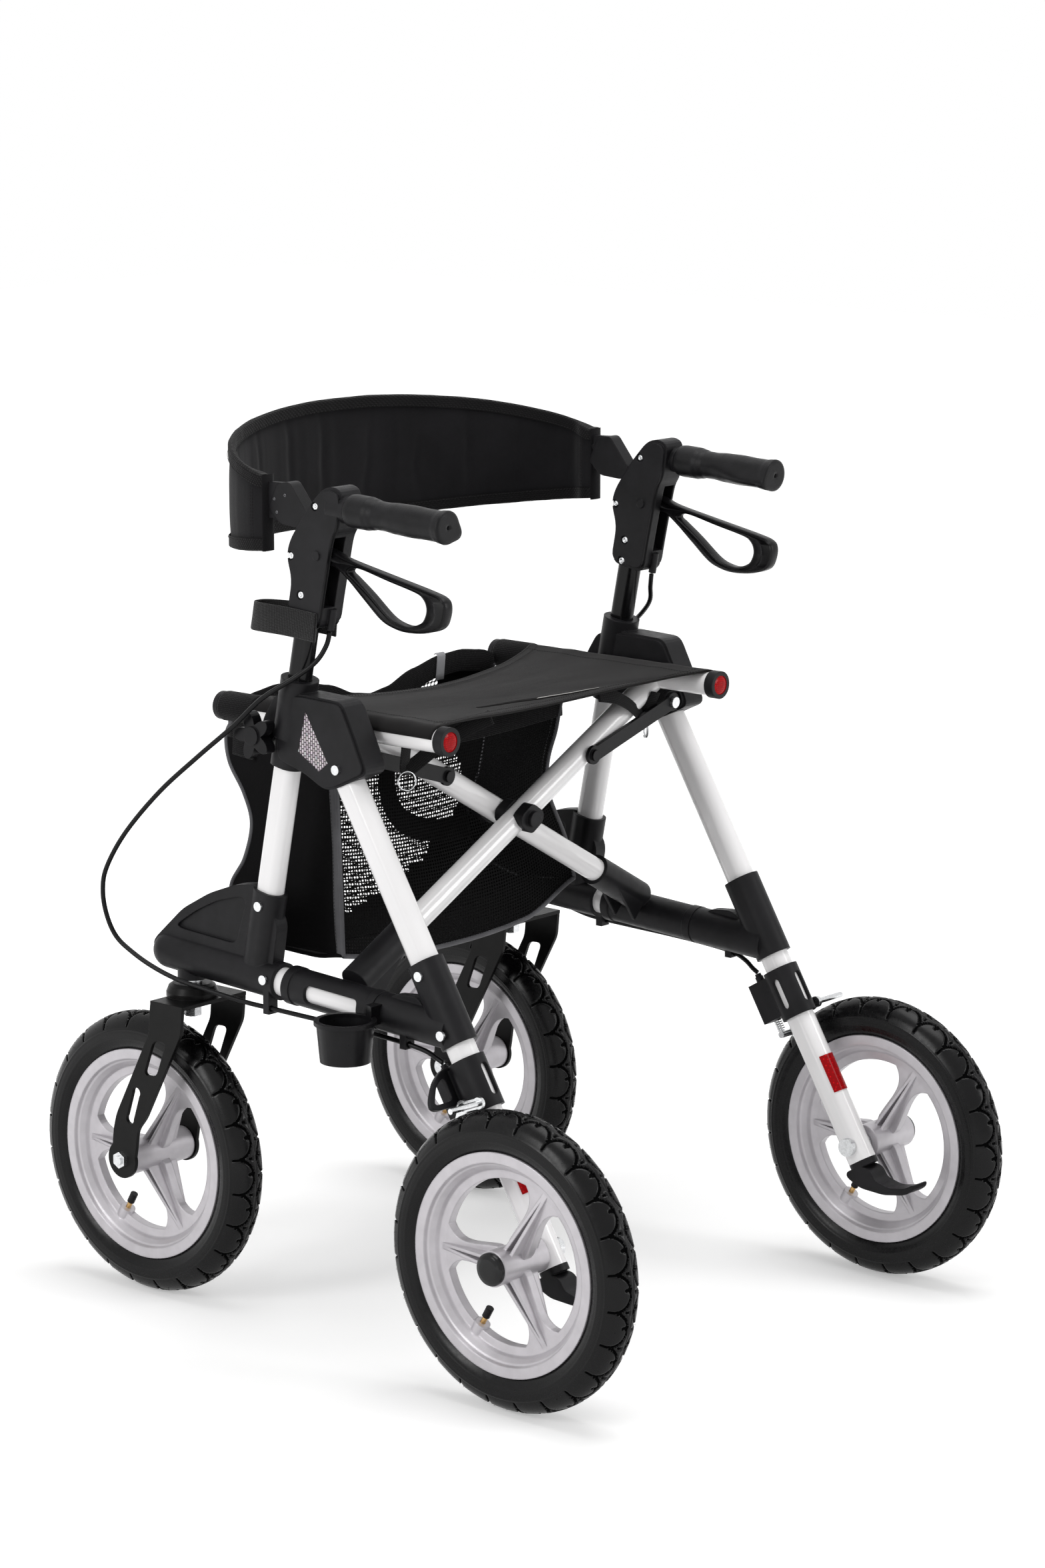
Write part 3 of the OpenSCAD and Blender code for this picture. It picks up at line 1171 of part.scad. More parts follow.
function band_tail_ring(e) = band_ring([e * band_half, band_start - band_tail], [e, 0], band_h, 0);
band_rings = concat([band_tail_ring(1)],
    [for (i = [0:band_steps]) band_ring(band_mid(i), band_out(i), band_tall(i), band_rise(i))],
    [band_tail_ring(-1)]);
module backrest_band() color(cloth) {
    m = len(band_rings);
    k = len(band_section_shares);
    faces = [for (i = [0:m - 2]) each [for (j = [0:k - 1]) let (
            a = i * k + j,
            b = i * k + (j + 1) % k)
        each [[a, b + k, b], [a, a + k, b + k]]]];
    ends = [[for (j = [0:k - 1]) j], [for (j = [0:k - 1]) m * k - 1 - j]];
    polyhedron([for (r = band_rings) each r], concat(faces, ends), convexity = 6);
}

// cane cup on the left rail
cane_x = 305;
cane_y = -56;
cane_top = 356;
cane_lug_y = [-14, -3];
cane_lug_z = [-9, 11];
cane_foot_share = 0.88;
cane_lip_share = -0.1;
function cup_line(t) = [[0, t - cane_h], [cane_foot_share * cane_d / 2 - t, t - cane_h],
    [cane_d / 2 - t, cane_lip_share * cane_h]];
module cane_place() translate([cane_x, cane_y, cane_top]) children();
module cane_cup() color(black) {
    difference() {
        union() {
            cane_place() rotate_extrude() polygon(concat(cup_line(0),
                [[cane_d / 2 + cane_t, cane_lip_share * cane_h], [cane_d / 2 + cane_t, 0], [0, 0]]));
            block(frame_w / 2 + barrel_r / 2, cane_x - cane_d / 3,
                cane_y + cane_lug_y[0], cane_y + cane_lug_y[1],
                cane_top + cane_lug_z[0], cane_top + cane_lug_z[1]);
        }
        cane_place() rotate_extrude()
            polygon(concat(cup_line(cane_t), [[cane_d / 2 - cane_t, frame_w], [0, frame_w]]));
        rail_frame() y_rod(barrel_r + pass, 2 * tee_y, -tee_y);
    }
}

module left_upright() sided(-1) upright();
module left_rear_leg() sided(-1) rear_leg();
module left_lower_rail() sided(-1) lower_rail();
module left_top_bracket() sided(-1) top_bracket(-1);
module left_front_gusset() sided(-1) front_gusset();
module left_rear_tee() sided(-1) rear_tee();
module left_brake_housing() sided(-1) brake_housing();
module left_tip_pedal() sided(-1) tip_pedal();
module left_frame_fasteners() sided(-1) {
    frame_fasteners();
    link_pin(-1);
}
module left_brake_cable() sided(-1) brake_cable();
module left_clamp_knob() sided(-1) clamp_knob();
module left_caster_fork() sided(-1) caster_fork();
module left_caster_bolts() sided(-1) caster_bolts();
module left_front_rim() sided(-1) front_rim();
module left_front_tyre() sided(-1) front_tyre();
module left_rear_rim() sided(-1) rear_rim();
module left_rear_tyre() sided(-1) rear_tyre();
module left_hub_cap() sided(-1) hub_cap();
module left_handle_tube() sided(-1) handle_tube();
module left_handle_housing() sided(-1) {
    handle_housing();
    lever_bolt();
}
module left_grip() sided(-1) grip();
module left_brake_lever() sided(-1) brake_lever();
module left_brake_arm() sided(-1) brake_arm();
module left_brake_spring() sided(-1) brake_spring();
module left_lock_link() sided(-1) lock_link(-1);
module left_back_arm() sided(-1) back_arm();
module right_upright() upright();
module right_rear_leg() rear_leg();
module right_lower_rail() lower_rail();
module right_top_bracket() top_bracket(1);
module right_front_gusset() front_gusset();
module right_rear_tee() rear_tee();
module right_brake_housing() brake_housing();
module right_tip_pedal() tip_pedal();
module right_frame_fasteners() {
    frame_fasteners();
    link_pin(1);
}
module right_brake_cable() brake_cable();
module right_clamp_knob() clamp_knob();
module right_caster_fork() caster_fork();
module right_caster_bolts() caster_bolts();
module right_front_rim() front_rim();
module right_front_tyre() front_tyre();
module right_rear_rim() rear_rim();
module right_rear_tyre() rear_tyre();
module right_hub_cap() hub_cap();
module right_handle_tube() handle_tube();
module right_handle_housing() {
    handle_housing();
    lever_bolt();
}
module right_grip() grip();
module right_brake_lever() brake_lever();
module right_brake_arm() brake_arm();
module right_brake_spring() brake_spring();
module right_lock_link() lock_link(1);
module right_back_arm() back_arm();
module rear_cross_tube() cross_tube(0);
module front_cross_tube() sided(-1) cross_tube(cross_gap);
module rear_cross_fittings() rear_fittings();
module front_cross_fittings() front_fittings();
module left_cane_cup() sided(-1) cane_cup();

left_upright();
left_rear_leg();
left_lower_rail();
left_top_bracket();
left_front_gusset();
left_rear_tee();
left_brake_housing();
left_tip_pedal();
left_frame_fasteners();
left_brake_cable();
left_clamp_knob();
left_caster_fork();
left_caster_bolts();
left_front_rim();
left_front_tyre();
left_rear_rim();
left_rear_tyre();
left_hub_cap();
left_handle_tube();
left_handle_housing();
left_grip();
left_brake_lever();
left_brake_arm();
left_brake_spring();
left_lock_link();
left_back_arm();
right_upright();
right_rear_leg();
right_lower_rail();
right_top_bracket();
right_front_gusset();
right_rear_tee();
right_brake_housing();
right_tip_pedal();
right_frame_fasteners();
right_brake_cable();
right_clamp_knob();
right_caster_fork();
right_caster_bolts();
right_front_rim();
right_front_tyre();
right_rear_rim();
right_rear_tyre();
right_hub_cap();
right_handle_tube();
right_handle_housing();
right_grip();
right_brake_lever();
right_brake_arm();
right_brake_spring();
right_lock_link();
right_back_arm();
rear_cross_tube();
front_cross_tube();
rear_cross_fittings();
front_cross_fittings();
seat_sling();
basket();
backrest_band();
left_cane_cup();  // cane_cup
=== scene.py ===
import math
import random

import bpy
from mathutils import Matrix, Vector
from mathutils.geometry import tessellate_polygon


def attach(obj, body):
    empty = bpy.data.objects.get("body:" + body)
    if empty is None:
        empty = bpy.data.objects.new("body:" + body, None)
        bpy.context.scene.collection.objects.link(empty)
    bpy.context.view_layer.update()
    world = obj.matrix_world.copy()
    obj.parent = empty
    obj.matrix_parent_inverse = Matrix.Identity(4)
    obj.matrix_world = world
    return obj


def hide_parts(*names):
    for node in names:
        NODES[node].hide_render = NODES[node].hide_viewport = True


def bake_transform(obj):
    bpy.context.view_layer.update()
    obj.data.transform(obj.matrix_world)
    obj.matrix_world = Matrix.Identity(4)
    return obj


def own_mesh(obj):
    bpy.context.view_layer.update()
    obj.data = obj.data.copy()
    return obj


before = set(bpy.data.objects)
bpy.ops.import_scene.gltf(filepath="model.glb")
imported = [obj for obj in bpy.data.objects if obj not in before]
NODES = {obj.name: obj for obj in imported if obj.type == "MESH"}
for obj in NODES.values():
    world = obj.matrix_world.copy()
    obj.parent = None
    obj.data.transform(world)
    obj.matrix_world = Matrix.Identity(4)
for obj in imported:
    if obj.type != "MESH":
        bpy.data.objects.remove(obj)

SCENE = bpy.context.scene
MM = 0.001
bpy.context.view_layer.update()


# small tools
def vec(x, y, z):
    return Vector((x * MM, y * MM, z * MM))


def vecs(points, s=1):
    """Points in mm, mirrored to the left with s = -1."""
    return [vec(x * s, y, z) for x, y, z in points]


def mix(a, b, t):
    return a + (b - a) * t


def smooth01(t):
    t = min(max(t, 0.0), 1.0)
    return t * t * (3 - 2 * t)


def hash01(*k):
    v = math.sin(sum((i + 1.7) * 12.9898 * float(x) for i, x in enumerate(k)) + 4.137) * 43758.5453
    return v - math.floor(v)


OCTAVES = 3


def wave1(t, seed):
    """Smooth noise along a line, about -1 to 1."""
    total, amp, norm = 0.0, 1.0, 0.0
    for o in range(OCTAVES):
        i = math.floor(t)
        f = t - i
        f = f * f * (3 - 2 * f)
        total += amp * (mix(hash01(i, seed, o), hash01(i + 1, seed, o), f) * 2 - 1)
        norm += amp
        t *= 2.03
        amp *= 0.5
    return total / norm


def wave2(u, v, seed):
    """Smooth noise over a plane, about -1 to 1."""
    total, amp, norm = 0.0, 1.0, 0.0
    for o in range(OCTAVES):
        i, j = math.floor(u), math.floor(v)
        f, g = u - i, v - j
        f, g = f * f * (3 - 2 * f), g * g * (3 - 2 * g)
        a = mix(hash01(i, j, seed, o), hash01(i + 1, j, seed, o), f)
        b = mix(hash01(i, j + 1, seed, o), hash01(i + 1, j + 1, seed, o), f)
        total += amp * (mix(a, b, g) * 2 - 1)
        norm += amp
        u, v = u * 2.07, v * 2.07
        amp *= 0.5
    return total / norm


def link(name, mesh, material):
    o = bpy.data.objects.new(name, mesh)
    SCENE.collection.objects.link(o)
    if material is not None and not mesh.materials:
        mesh.materials.append(material)
    return o


def mesh_of(name, verts, faces, uvs=None, smooth=True):
    me = bpy.data.meshes.new(name)
    me.from_pydata([tuple(v) for v in verts], [], faces)
    if uvs is not None:
        layer = me.uv_layers.new(name="UVMap")
        for loop in me.loops:
            layer.data[loop.index].uv = uvs[loop.vertex_index]
    me.update()
    if smooth:
        me.polygons.foreach_set("use_smooth", [True] * len(me.polygons))
    return me


def grid(name, fn, nu, nv, material, wrap_v=False, size=(1, 1), start=0.0):
    """A sheet from fn(u, v), u and v from 0 to 1; its cloth coordinates have a size and start in metres."""
    cv = nv if wrap_v else nv + 1
    verts, uvs = [], []
    for i in range(nu + 1):
        for j in range(cv):
            verts.append(fn(i / nu, j / nv))
            uvs.append((start + i / nu * size[0], j / nv * size[1]))
    faces = []
    for i in range(nu):
        for j in range(nv):
            k = (j + 1) % cv
            faces.append((i * cv + j, (i + 1) * cv + j, (i + 1) * cv + k, i * cv + k))
    return link(name, mesh_of(name, verts, faces, uvs), material)


def solid(obj, thickness, offset):
    m = obj.modifiers.new("thick", "SOLIDIFY")
    m.thickness = thickness * MM
    m.offset = offset
    m.use_even_offset = False


def bake(obj):
    """Modifiers become the mesh."""
    dg = bpy.context.evaluated_depsgraph_get()
    me = bpy.data.meshes.new_from_object(obj.evaluated_get(dg))
    obj.modifiers.clear()
    obj.data = me


def spline(a, b, c, d, t):
    """A smooth run from b to c; a and d are their neighbours."""
    return 0.5 * (2 * b + (c - a) * t + (2 * a - 5 * b + 4 * c - d) * t * t
                  + (3 * b - a - 3 * c + d) * t ** 3)


def catmull(points, steps):
    out, m = [], len(points)
    for i in range(m - 1):
        four = points[max(i - 1, 0)], points[i], points[i + 1], points[min(i + 2, m - 1)]
        out += [spline(*four, k / steps) for k in range(steps)]
    out.append(points[-1])
    return out


def frames(points):
    """Tangent, normal and binormal along a run, carried without twist."""
    out, n = [], None
    for i in range(len(points)):
        t = (points[min(i + 1, len(points) - 1)] - points[max(i - 1, 0)]).normalized()
        if n is None:
            n = t.orthogonal().normalized()
        n = (n - t * n.dot(t)).normalized()
        out.append((t, n, t.cross(n)))
    return out


def rings(count, sides):
    """Faces of a run of point rings, closed at both ends."""
    faces = []
    for i in range(count - 1):
        for k in range(sides):
            n = (k + 1) % sides
            faces.append((i * sides + k, i * sides + n, (i + 1) * sides + n, (i + 1) * sides + k))
    faces.append(tuple(range(sides - 1, -1, -1)))
    faces.append(tuple(range((count - 1) * sides, count * sides)))
    return faces


def tube(name, points, radius, material, sides):
    """A round tube along points; radius a number or one number for each point, in mm."""
    fr = frames(points)
    verts, uvs = [], []
    run = 0.0
    for i, p in enumerate(points):
        r = (radius[i] if hasattr(radius, "__len__") else radius) * MM
        if i:
            run += (p - points[i - 1]).length
        for k in range(sides):
            a = 2 * math.pi * k / sides
            verts.append(p + (fr[i][1] * math.cos(a) + fr[i][2] * math.sin(a)) * r)
            uvs.append((run, a * r))
    return link(name, mesh_of(name, verts, rings(len(points), sides), uvs), material)


def ribbon(name, points, ups, width, thick, material):
    """A flat strap with rounded edges, sizes in mm; ups are its face directions."""
    fr = frames(points)
    width, thick = width * MM, thick * MM
    sec = [(-0.5, -0.3), (-0.46, -0.5), (0.0, -0.5), (0.46, -0.5), (0.5, -0.3),
           (0.5, 0.3), (0.46, 0.5), (0.0, 0.5), (-0.46, 0.5), (-0.5, 0.3)]
    verts, uvs = [], []
    run = 0.0
    for i, p in enumerate(points):
        t = fr[i][0]
        up = ups[i] if isinstance(ups, list) else ups
        up = (up - t * up.dot(t)).normalized()
        side = t.cross(up)
        if i:
            run += (p - points[i - 1]).length
        for a, b in sec:
            verts.append(p + side * (a * width) + up * (b * thick))
            uvs.append((run, a * width))
    return link(name, mesh_of(name, verts, rings(len(points), len(sec)), uvs), material)


def stitches(points, ups, pitch=3.6, length=2.4):
    """Sewing thread along a run: short rounded bars lying on the cloth; pitch and length in mm."""
    r, lift = 0.55 * MM / 2, 0.15 * MM
    pos = [0.0]
    for i in range(1, len(points)):
        pos.append(pos[-1] + (points[i] - points[i - 1]).length)

    def at(s):
        for i in range(1, len(points)):
            if s <= pos[i] or i == len(points) - 1:
                t = (s - pos[i - 1]) / max(pos[i] - pos[i - 1], 1e-9)
                up = ups[i] if isinstance(ups, list) else ups
                return points[i - 1].lerp(points[i], t), up

    verts, faces = [], []
    count = int(pos[-1] / (pitch * MM))
    for q in range(count):
        a, up = at((q + 0.15) * pitch * MM)
        b, _ = at(((q + 0.15) * pitch + length) * MM)
        t = b - a
        if t.length < 1e-6:
            continue
        t.normalize()
        up = (up - t * up.dot(t)).normalized()
        side = t.cross(up)
        base = len(verts)
        for t01, k, h in ((0.0, 0.35, -0.6), (0.25, 1, 0.6), (0.75, 1, 0.6), (1.0, 0.35, -0.6)):
            p = a.lerp(b, t01)
            c = p + up * (lift + r * h)
            verts += [c + side * r * k, c + up * r * k, c - side * r * k, c - up * r * k]
        faces += [tuple(base + i for i in face) for face in rings(4, 4)]
    return link("stitches", mesh_of("stitches", verts, faces), THREAD)


def revolve(name, profile, material, axis_from, axis_dir, steps):
    """profile: (radius, along) in mm, turned round an axis."""
    d = axis_dir.normalized()
    n = d.orthogonal().normalized()
    b = d.cross(n)
    verts, faces = [], []
    m = len(profile)
    for k in range(steps):
        a = 2 * math.pi * k / steps
        for r, s in profile:
            verts.append(axis_from + d * (s * MM) + (n * math.cos(a) + b * math.sin(a)) * (r * MM))
    for k in range(steps):
        for i in range(m - 1):
            n = (k + 1) % steps
            faces.append((k * m + i, n * m + i, n * m + i + 1, k * m + i + 1))
    return link(name, mesh_of(name, verts, faces), material)


def join(name, objs):
    """One object from several without parents."""
    verts, faces, uvs, mats, index = [], [], [], [], []
    for o in objs:
        base = len(verts)
        verts += [o.matrix_world @ v.co for v in o.data.vertices]
        slots = []
        for m in o.data.materials:
            if m not in mats:
                mats.append(m)
            slots.append(mats.index(m))
        layer = o.data.uv_layers[0].data if o.data.uv_layers else None
        for p in o.data.polygons:
            faces.append(tuple(base + i for i in p.vertices))
            index.append(slots[p.material_index] if slots else 0)
            uvs.append([tuple(layer[k].uv) if layer else (0, 0) for k in p.loop_indices])
    me = bpy.data.meshes.new(name)
    me.from_pydata([tuple(v) for v in verts], [], faces)
    for m in mats:
        me.materials.append(m)
    layer = me.uv_layers.new(name="UVMap")
    for p, i, u in zip(me.polygons, index, uvs):
        p.material_index = i
        p.use_smooth = True
        for k, q in zip(p.loop_indices, u):
            layer.data[k].uv = q
    me.update()
    for o in objs:
        old = o.data
        bpy.data.objects.remove(o)
        if not old.users:
            bpy.data.meshes.remove(old)
    o = bpy.data.objects.new(name, me)
    SCENE.collection.objects.link(o)
    return o


# materials
class Nodes:
    def __init__(self, name):
        self.m = bpy.data.materials.new(name)
        self.m.use_nodes = True
        self.t = self.m.node_tree
        self.t.nodes.clear()
        self.out = self.add("OutputMaterial")
        self.bsdf = self.add("BsdfPrincipled")
        self.join(self.bsdf, "BSDF", self.out, "Surface")

    def add(self, kind, **values):
        """A new node; values name its inputs, with _ for a blank, or its own settings."""
        n = self.t.nodes.new("ShaderNode" + kind)
        for k, v in values.items():
            if k.replace("_", " ") in n.inputs:
                n.inputs[k.replace("_", " ")].default_value = v
            else:
                setattr(n, k, v)
        return n

    def join(self, a, s, b, d):
        self.t.links.new(a.outputs[s], b.inputs[d])

    def set(self, **values):
        for k, v in values.items():
            self.bsdf.inputs[k.replace("_", " ")].default_value = v

    def noise(self, scale, detail=3.0):
        n = self.add("TexNoise", Scale=scale, Detail=detail, Roughness=0.55)
        self.join(self.add("TexCoord"), "Object", n, "Vector")
        return n

    def bump(self, source, output, strength, distance):
        b = self.add("Bump", Strength=strength, Distance=distance)
        self.join(source, output, b, "Height")
        return b

    def ramp(self, source, output, stops):
        r = self.add("ValToRGB")
        e = r.color_ramp.elements
        while len(e) < len(stops):
            e.new(0.5)
        for el, (p, c) in zip(e, stops):
            el.position = p
            el.color = (*c, 1.0)
        self.join(source, output, r, "Fac")
        return r

    def level(self, source, output, low, high):
        r = self.add("MapRange", From_Min=0.3, From_Max=0.7, To_Min=low, To_Max=high)
        self.join(source, output, r, "Value")
        return r


def finish_material(name, base, rough, metal=0.0, vary=0.3, scale=35.0, grain=0.0, grain_scale=1400.0,
                    edge=0.0, rough_vary=0.05, coat=0.0, spec=0.5):
    """Paint, plastic, rubber or metal: slow colour change, uneven gloss, fine grain and a softened edge."""
    n = Nodes(name)
    slow = n.noise(scale)
    low = tuple(c * (1 - vary) for c in base)
    high = tuple(min(c * (1 + vary), 1.0) for c in base)
    n.join(n.ramp(slow, "Fac", [(0.32, low), (0.68, high)]), "Color", n.bsdf, "Base Color")
    gloss = n.level(n.noise(scale * 4.3, 4.0), "Fac", max(rough - rough_vary, 0.03), rough + rough_vary)
    n.join(gloss, "Result", n.bsdf, "Roughness")
    n.set(Metallic=metal, IOR=1.5, Coat_Weight=coat, Coat_Roughness=0.08, Specular_IOR_Level=spec)
    last = None
    if edge:
        last = n.add("Bevel", samples=4, Radius=edge * MM)
    if grain:
        b = n.bump(n.noise(grain_scale, 2.0), "Fac", grain, 0.0004)
        if last is not None:
            n.join(last, "Normal", b, "Normal")
        last = b
    if last is not None:
        n.join(last, "Normal", n.bsdf, "Normal")
    return n.m


def cloth_material(name, base, pitch, sheen, rough=0.86, depth=0.35, twill=True):
    """Woven cloth on real-size coordinates: warp and weft waves, slow fade, loose nap."""
    n = Nodes(name)
    tc = n.add("TexCoord")
    both = n.add("Math", operation="MULTIPLY")
    for k, way in enumerate(("DIAGONAL" if twill else "X", "Y")):
        w = n.add("TexWave", wave_type="BANDS", bands_direction=way, wave_profile="SIN",
                  Scale=0.314 / (pitch * MM), Distortion=0.4, Detail=0.0)
        n.join(tc, "UV", w, "Vector")
        n.join(w, "Fac", both, k)
    slow = n.noise(22.0, 4.0)
    vary = 0.22
    shade = n.add("Math", operation="MULTIPLY_ADD")
    n.join(both, "Value", shade, 0)
    shade.inputs[1].default_value = 0.35
    n.join(slow, "Fac", shade, 2)
    low = tuple(c * (1 - vary) for c in base)
    high = tuple(c * (1 + 1.6 * vary) for c in base)
    n.join(n.ramp(shade, "Value", [(0.35, low), (0.85, high)]), "Color", n.bsdf, "Base Color")
    n.join(n.level(slow, "Fac", rough - 0.06, min(rough + 0.06, 1.0)), "Result", n.bsdf, "Roughness")
    n.set(Sheen_Weight=sheen, Sheen_Roughness=0.45, Metallic=0.0, Specular_IOR_Level=0.06)
    n.join(n.bump(both, "Value", depth, 0.0005), "Normal", n.bsdf, "Normal")
    return n.m


def red_lens(name, cell=2.2):
    """Red plastic over prism cells; the cell centres are painted lighter and given a painted glow by
    emission, though the reflector is no lamp.
    """
    n = Nodes(name)
    v = n.add("TexVoronoi", feature="F1", distance="MANHATTAN", Scale=1 / (cell * MM), Randomness=0.25)
    n.join(n.add("TexCoord"), "Object", v, "Vector")
    # cell centres lighter than their edges: painted reflection of the prism cells
    body = n.ramp(v, "Distance", [(0.05, (0.66, 0.004, 0.007)), (0.5, (0.30, 0.001, 0.003))])
    # painted glow: the cell centres give off red light by emission
    glow = n.ramp(v, "Distance", [(0.05, (0.5, 0.004, 0.008)), (0.55, (0.05, 0.0, 0.0))])
    n.join(body, "Color", n.bsdf, "Base Color")
    n.join(glow, "Color", n.bsdf, "Emission Color")
    n.set(Emission_Strength=0.35, Roughness=0.16, Specular_IOR_Level=0.10)
    return n.m


def prism_sheet(name):
    """Silver prism film: woven-looking cells that shift in hue."""
    n = Nodes(name)
    sep = n.add("SeparateXYZ")
    n.join(n.add("TexCoord"), "Object", sep, "Vector")
    flat = n.add("CombineXYZ")
    n.join(sep, "Z", flat, "X")
    n.join(sep, "Y", flat, "Y")
    brick = n.add("TexBrick", offset=0.5, Scale=1.0, Brick_Width=0.0046, Row_Height=0.0030,
                  Mortar_Size=0.0007, Mortar_Smooth=0.4, Color1=(0.88, 0.85, 0.85, 1),
                  Color2=(0.52, 0.48, 0.50, 1), Mortar=(0.09, 0.08, 0.085, 1))
    n.join(flat, "Vector", brick, "Vector")
    colours = n.ramp(n.noise(330.0), "Fac", [(0.30, (0.35, 0.75, 0.85)), (0.42, (0.85, 0.80, 0.72)),
                                             (0.55, (0.80, 0.55, 0.85)), (0.68, (0.55, 0.80, 0.60))])
    m = n.add("Mix", data_type="RGBA", blend_type="MULTIPLY")
    m.inputs[0].default_value = 0.45
    n.join(brick, "Color", m, 6)
    n.join(colours, "Color", m, 7)
    n.join(m, 2, n.bsdf, "Base Color")
    n.set(Metallic=0.15, Roughness=0.30, Specular_IOR_Level=0.25)
    n.join(n.bump(brick, "Fac", 0.4, 0.0004), "Normal", n.bsdf, "Normal")
    return n.m


WHITE = finish_material("white_enamel", (0.90, 0.89, 0.895), 0.20, vary=0.02, scale=9,
                        grain=0.035, grain_scale=420, coat=0.5, rough_vary=0.03)
TUBE_BLACK = finish_material("black_anodised_tube", (0.0035, 0.0035, 0.004), 0.22,
                             grain=0.03, grain_scale=600, coat=0.08, spec=0.15)
PLASTIC = finish_material("black_textured_plastic", (0.0078, 0.0075, 0.0086), 0.42, scale=30,
                          grain=0.22, grain_scale=2600, edge=1.8, rough_vary=0.06, spec=0.16)
SOFT_PLASTIC = finish_material("black_smooth_plastic", (0.0056, 0.0054, 0.0062), 0.32, scale=40,
                               grain=0.10, grain_scale=1700, edge=1.0, spec=0.16)
POWDER = finish_material("black_powder_coat", (0.0036, 0.0035, 0.0035), 0.36, scale=50,
                         grain=0.20, grain_scale=1200, edge=0.9, spec=0.12)
SILVER = finish_material("silver_wheel_paint", (0.535, 0.515, 0.54), 0.34, metal=0.42, vary=0.05, scale=70,
                         grain=0.10, grain_scale=3200, edge=2.2, spec=0.4)
RUBBER = finish_material("tyre_rubber", (0.0022, 0.0021, 0.0024), 0.27, vary=0.35, scale=45,
                         grain=0.06, grain_scale=900, rough_vary=0.06, spec=0.19)
# darker, duller rubber for the faces deep in the tread grooves: painted shade in the recesses
GROOVE_SHADE = finish_material("tyre_groove_shade", (0.0012, 0.0012, 0.0013), 0.6, scale=45, spec=0.02)
JACKET = finish_material("cable_jacket", (0.0040, 0.0040, 0.0045), 0.32, scale=200,
                         grain=0.04, spec=0.15)
GRIP = finish_material("grip_rubber", (0.0058, 0.0056, 0.0064), 0.40, scale=60,
                       grain=0.40, grain_scale=1300, edge=1.6, rough_vary=0.06, spec=0.16)
HUB = finish_material("glossy_black_cap", (0.0030, 0.0030, 0.0034), 0.16, scale=60,
                      grain=0.03, edge=1.4, spec=0.30)
ZINC = finish_material("zinc_screw", (0.66, 0.67, 0.68), 0.26, metal=1.0, vary=0.1, scale=300,
                       grain=0.05, edge=0.4)
DARK_ZINC = finish_material("dark_screw", (0.10, 0.10, 0.105), 0.34, metal=0.9, vary=0.15, scale=300,
                            grain=0.05)
BRASS = finish_material("valve_brass", (0.60, 0.38, 0.15), 0.32, metal=1.0, vary=0.15, scale=260, grain=0.06)
# both red reflectors take red_lens, with its painted glow and lighter cell centres
RED = red_lens("red_reflector")
RED_STRIP = red_lens("red_strip", 3.4)
PRISM = prism_sheet("prism_reflector")
SEAT = cloth_material("seat_polyester", (0.0120, 0.0113, 0.0115), pitch=0.8, depth=0.25, sheen=0.09)
BAND = cloth_material("band_polyester", (0.0095, 0.0091, 0.0102), pitch=0.7, depth=0.25, sheen=0.16)
PANEL = cloth_material("basket_polyester", (0.0052, 0.0050, 0.0054), pitch=0.8, depth=0.25, sheen=0.05)
NET = cloth_material("basket_net", (0.0042, 0.0041, 0.0042), pitch=1.1, depth=0.3, twill=False, sheen=0.03)
TWILL = cloth_material("twill_binding", (0.0085, 0.0082, 0.0086), pitch=2.3, depth=0.95, sheen=0.12)
WEB = cloth_material("webbing", (0.0080, 0.0078, 0.0082), pitch=2.0, depth=0.9, twill=False, sheen=0.10)
HOOK = cloth_material("hook_and_loop", (0.0090, 0.0088, 0.0090), pitch=1.2, depth=1.0, twill=False,
                      sheen=0.30)
PIPING = cloth_material("grey_reflective_piping", (0.115, 0.115, 0.122), rough=0.62, pitch=0.8, sheen=0.2)
TAB = cloth_material("grey_reflective_tab", (0.33, 0.33, 0.345), rough=0.5, pitch=0.8, sheen=0.1)
THREAD = finish_material("sewing_thread", (0.012, 0.0115, 0.012), 0.7, vary=0.2, scale=500, spec=0.2)
PALE = finish_material("pale_lining", (0.55, 0.54, 0.52), 0.8, vary=0.1, scale=200)

# CAD nodes: the first row with a word from the name gives the material
LOOKS = (
    (("upright", "rear_leg", "lower_rail", "cross_tube"), WHITE),
    (("handle_tube",), TUBE_BLACK),
    (("caster_fork",), POWDER),
    (("rim",), SILVER),
    (("tyre",), RUBBER),
    (("fasteners", "bolts", "brake_arm", "brake_spring"), ZINC),
    (("brake_cable",), JACKET),
    (("grip",), GRIP),
    (("seat_sling", "basket", "backrest_band"), SEAT),
    (("hub_cap",), HUB),
    (("knob", "lever", "cane_cup", "lock_link"), SOFT_PLASTIC),
    (("",), PLASTIC),
)
for name, node in NODES.items():
    node.data.materials.clear()
    node.data.materials.append(next(m for words, m in LOOKS if any(k in name for k in words)))
    node.data.polygons.foreach_set("material_index", [0] * len(node.data.polygons))

SIDES = (("left", -1), ("right", 1))


def paint(name, rules):
    """Faces of a CAD node take another material where a rule on their middle point holds."""
    node = NODES[name]
    me = node.data
    for material, test in rules:
        index = len(me.materials)
        me.materials.append(material)
        for poly in me.polygons:
            if test(node.matrix_world @ poly.center * 1000.0):
                poly.material_index = index


# tyres
LOBES = 24
TYRE_R, TREAD_HALF = 150.0, 28
RIM_EDGE_R = 112.3
BEAD_X, BEAD_R = 12.6, 105.6
FRAME_X, REAR_X, AXLE_Y = 251.0, 298.5, 271.5
LEG_TILT = math.radians(30.75)


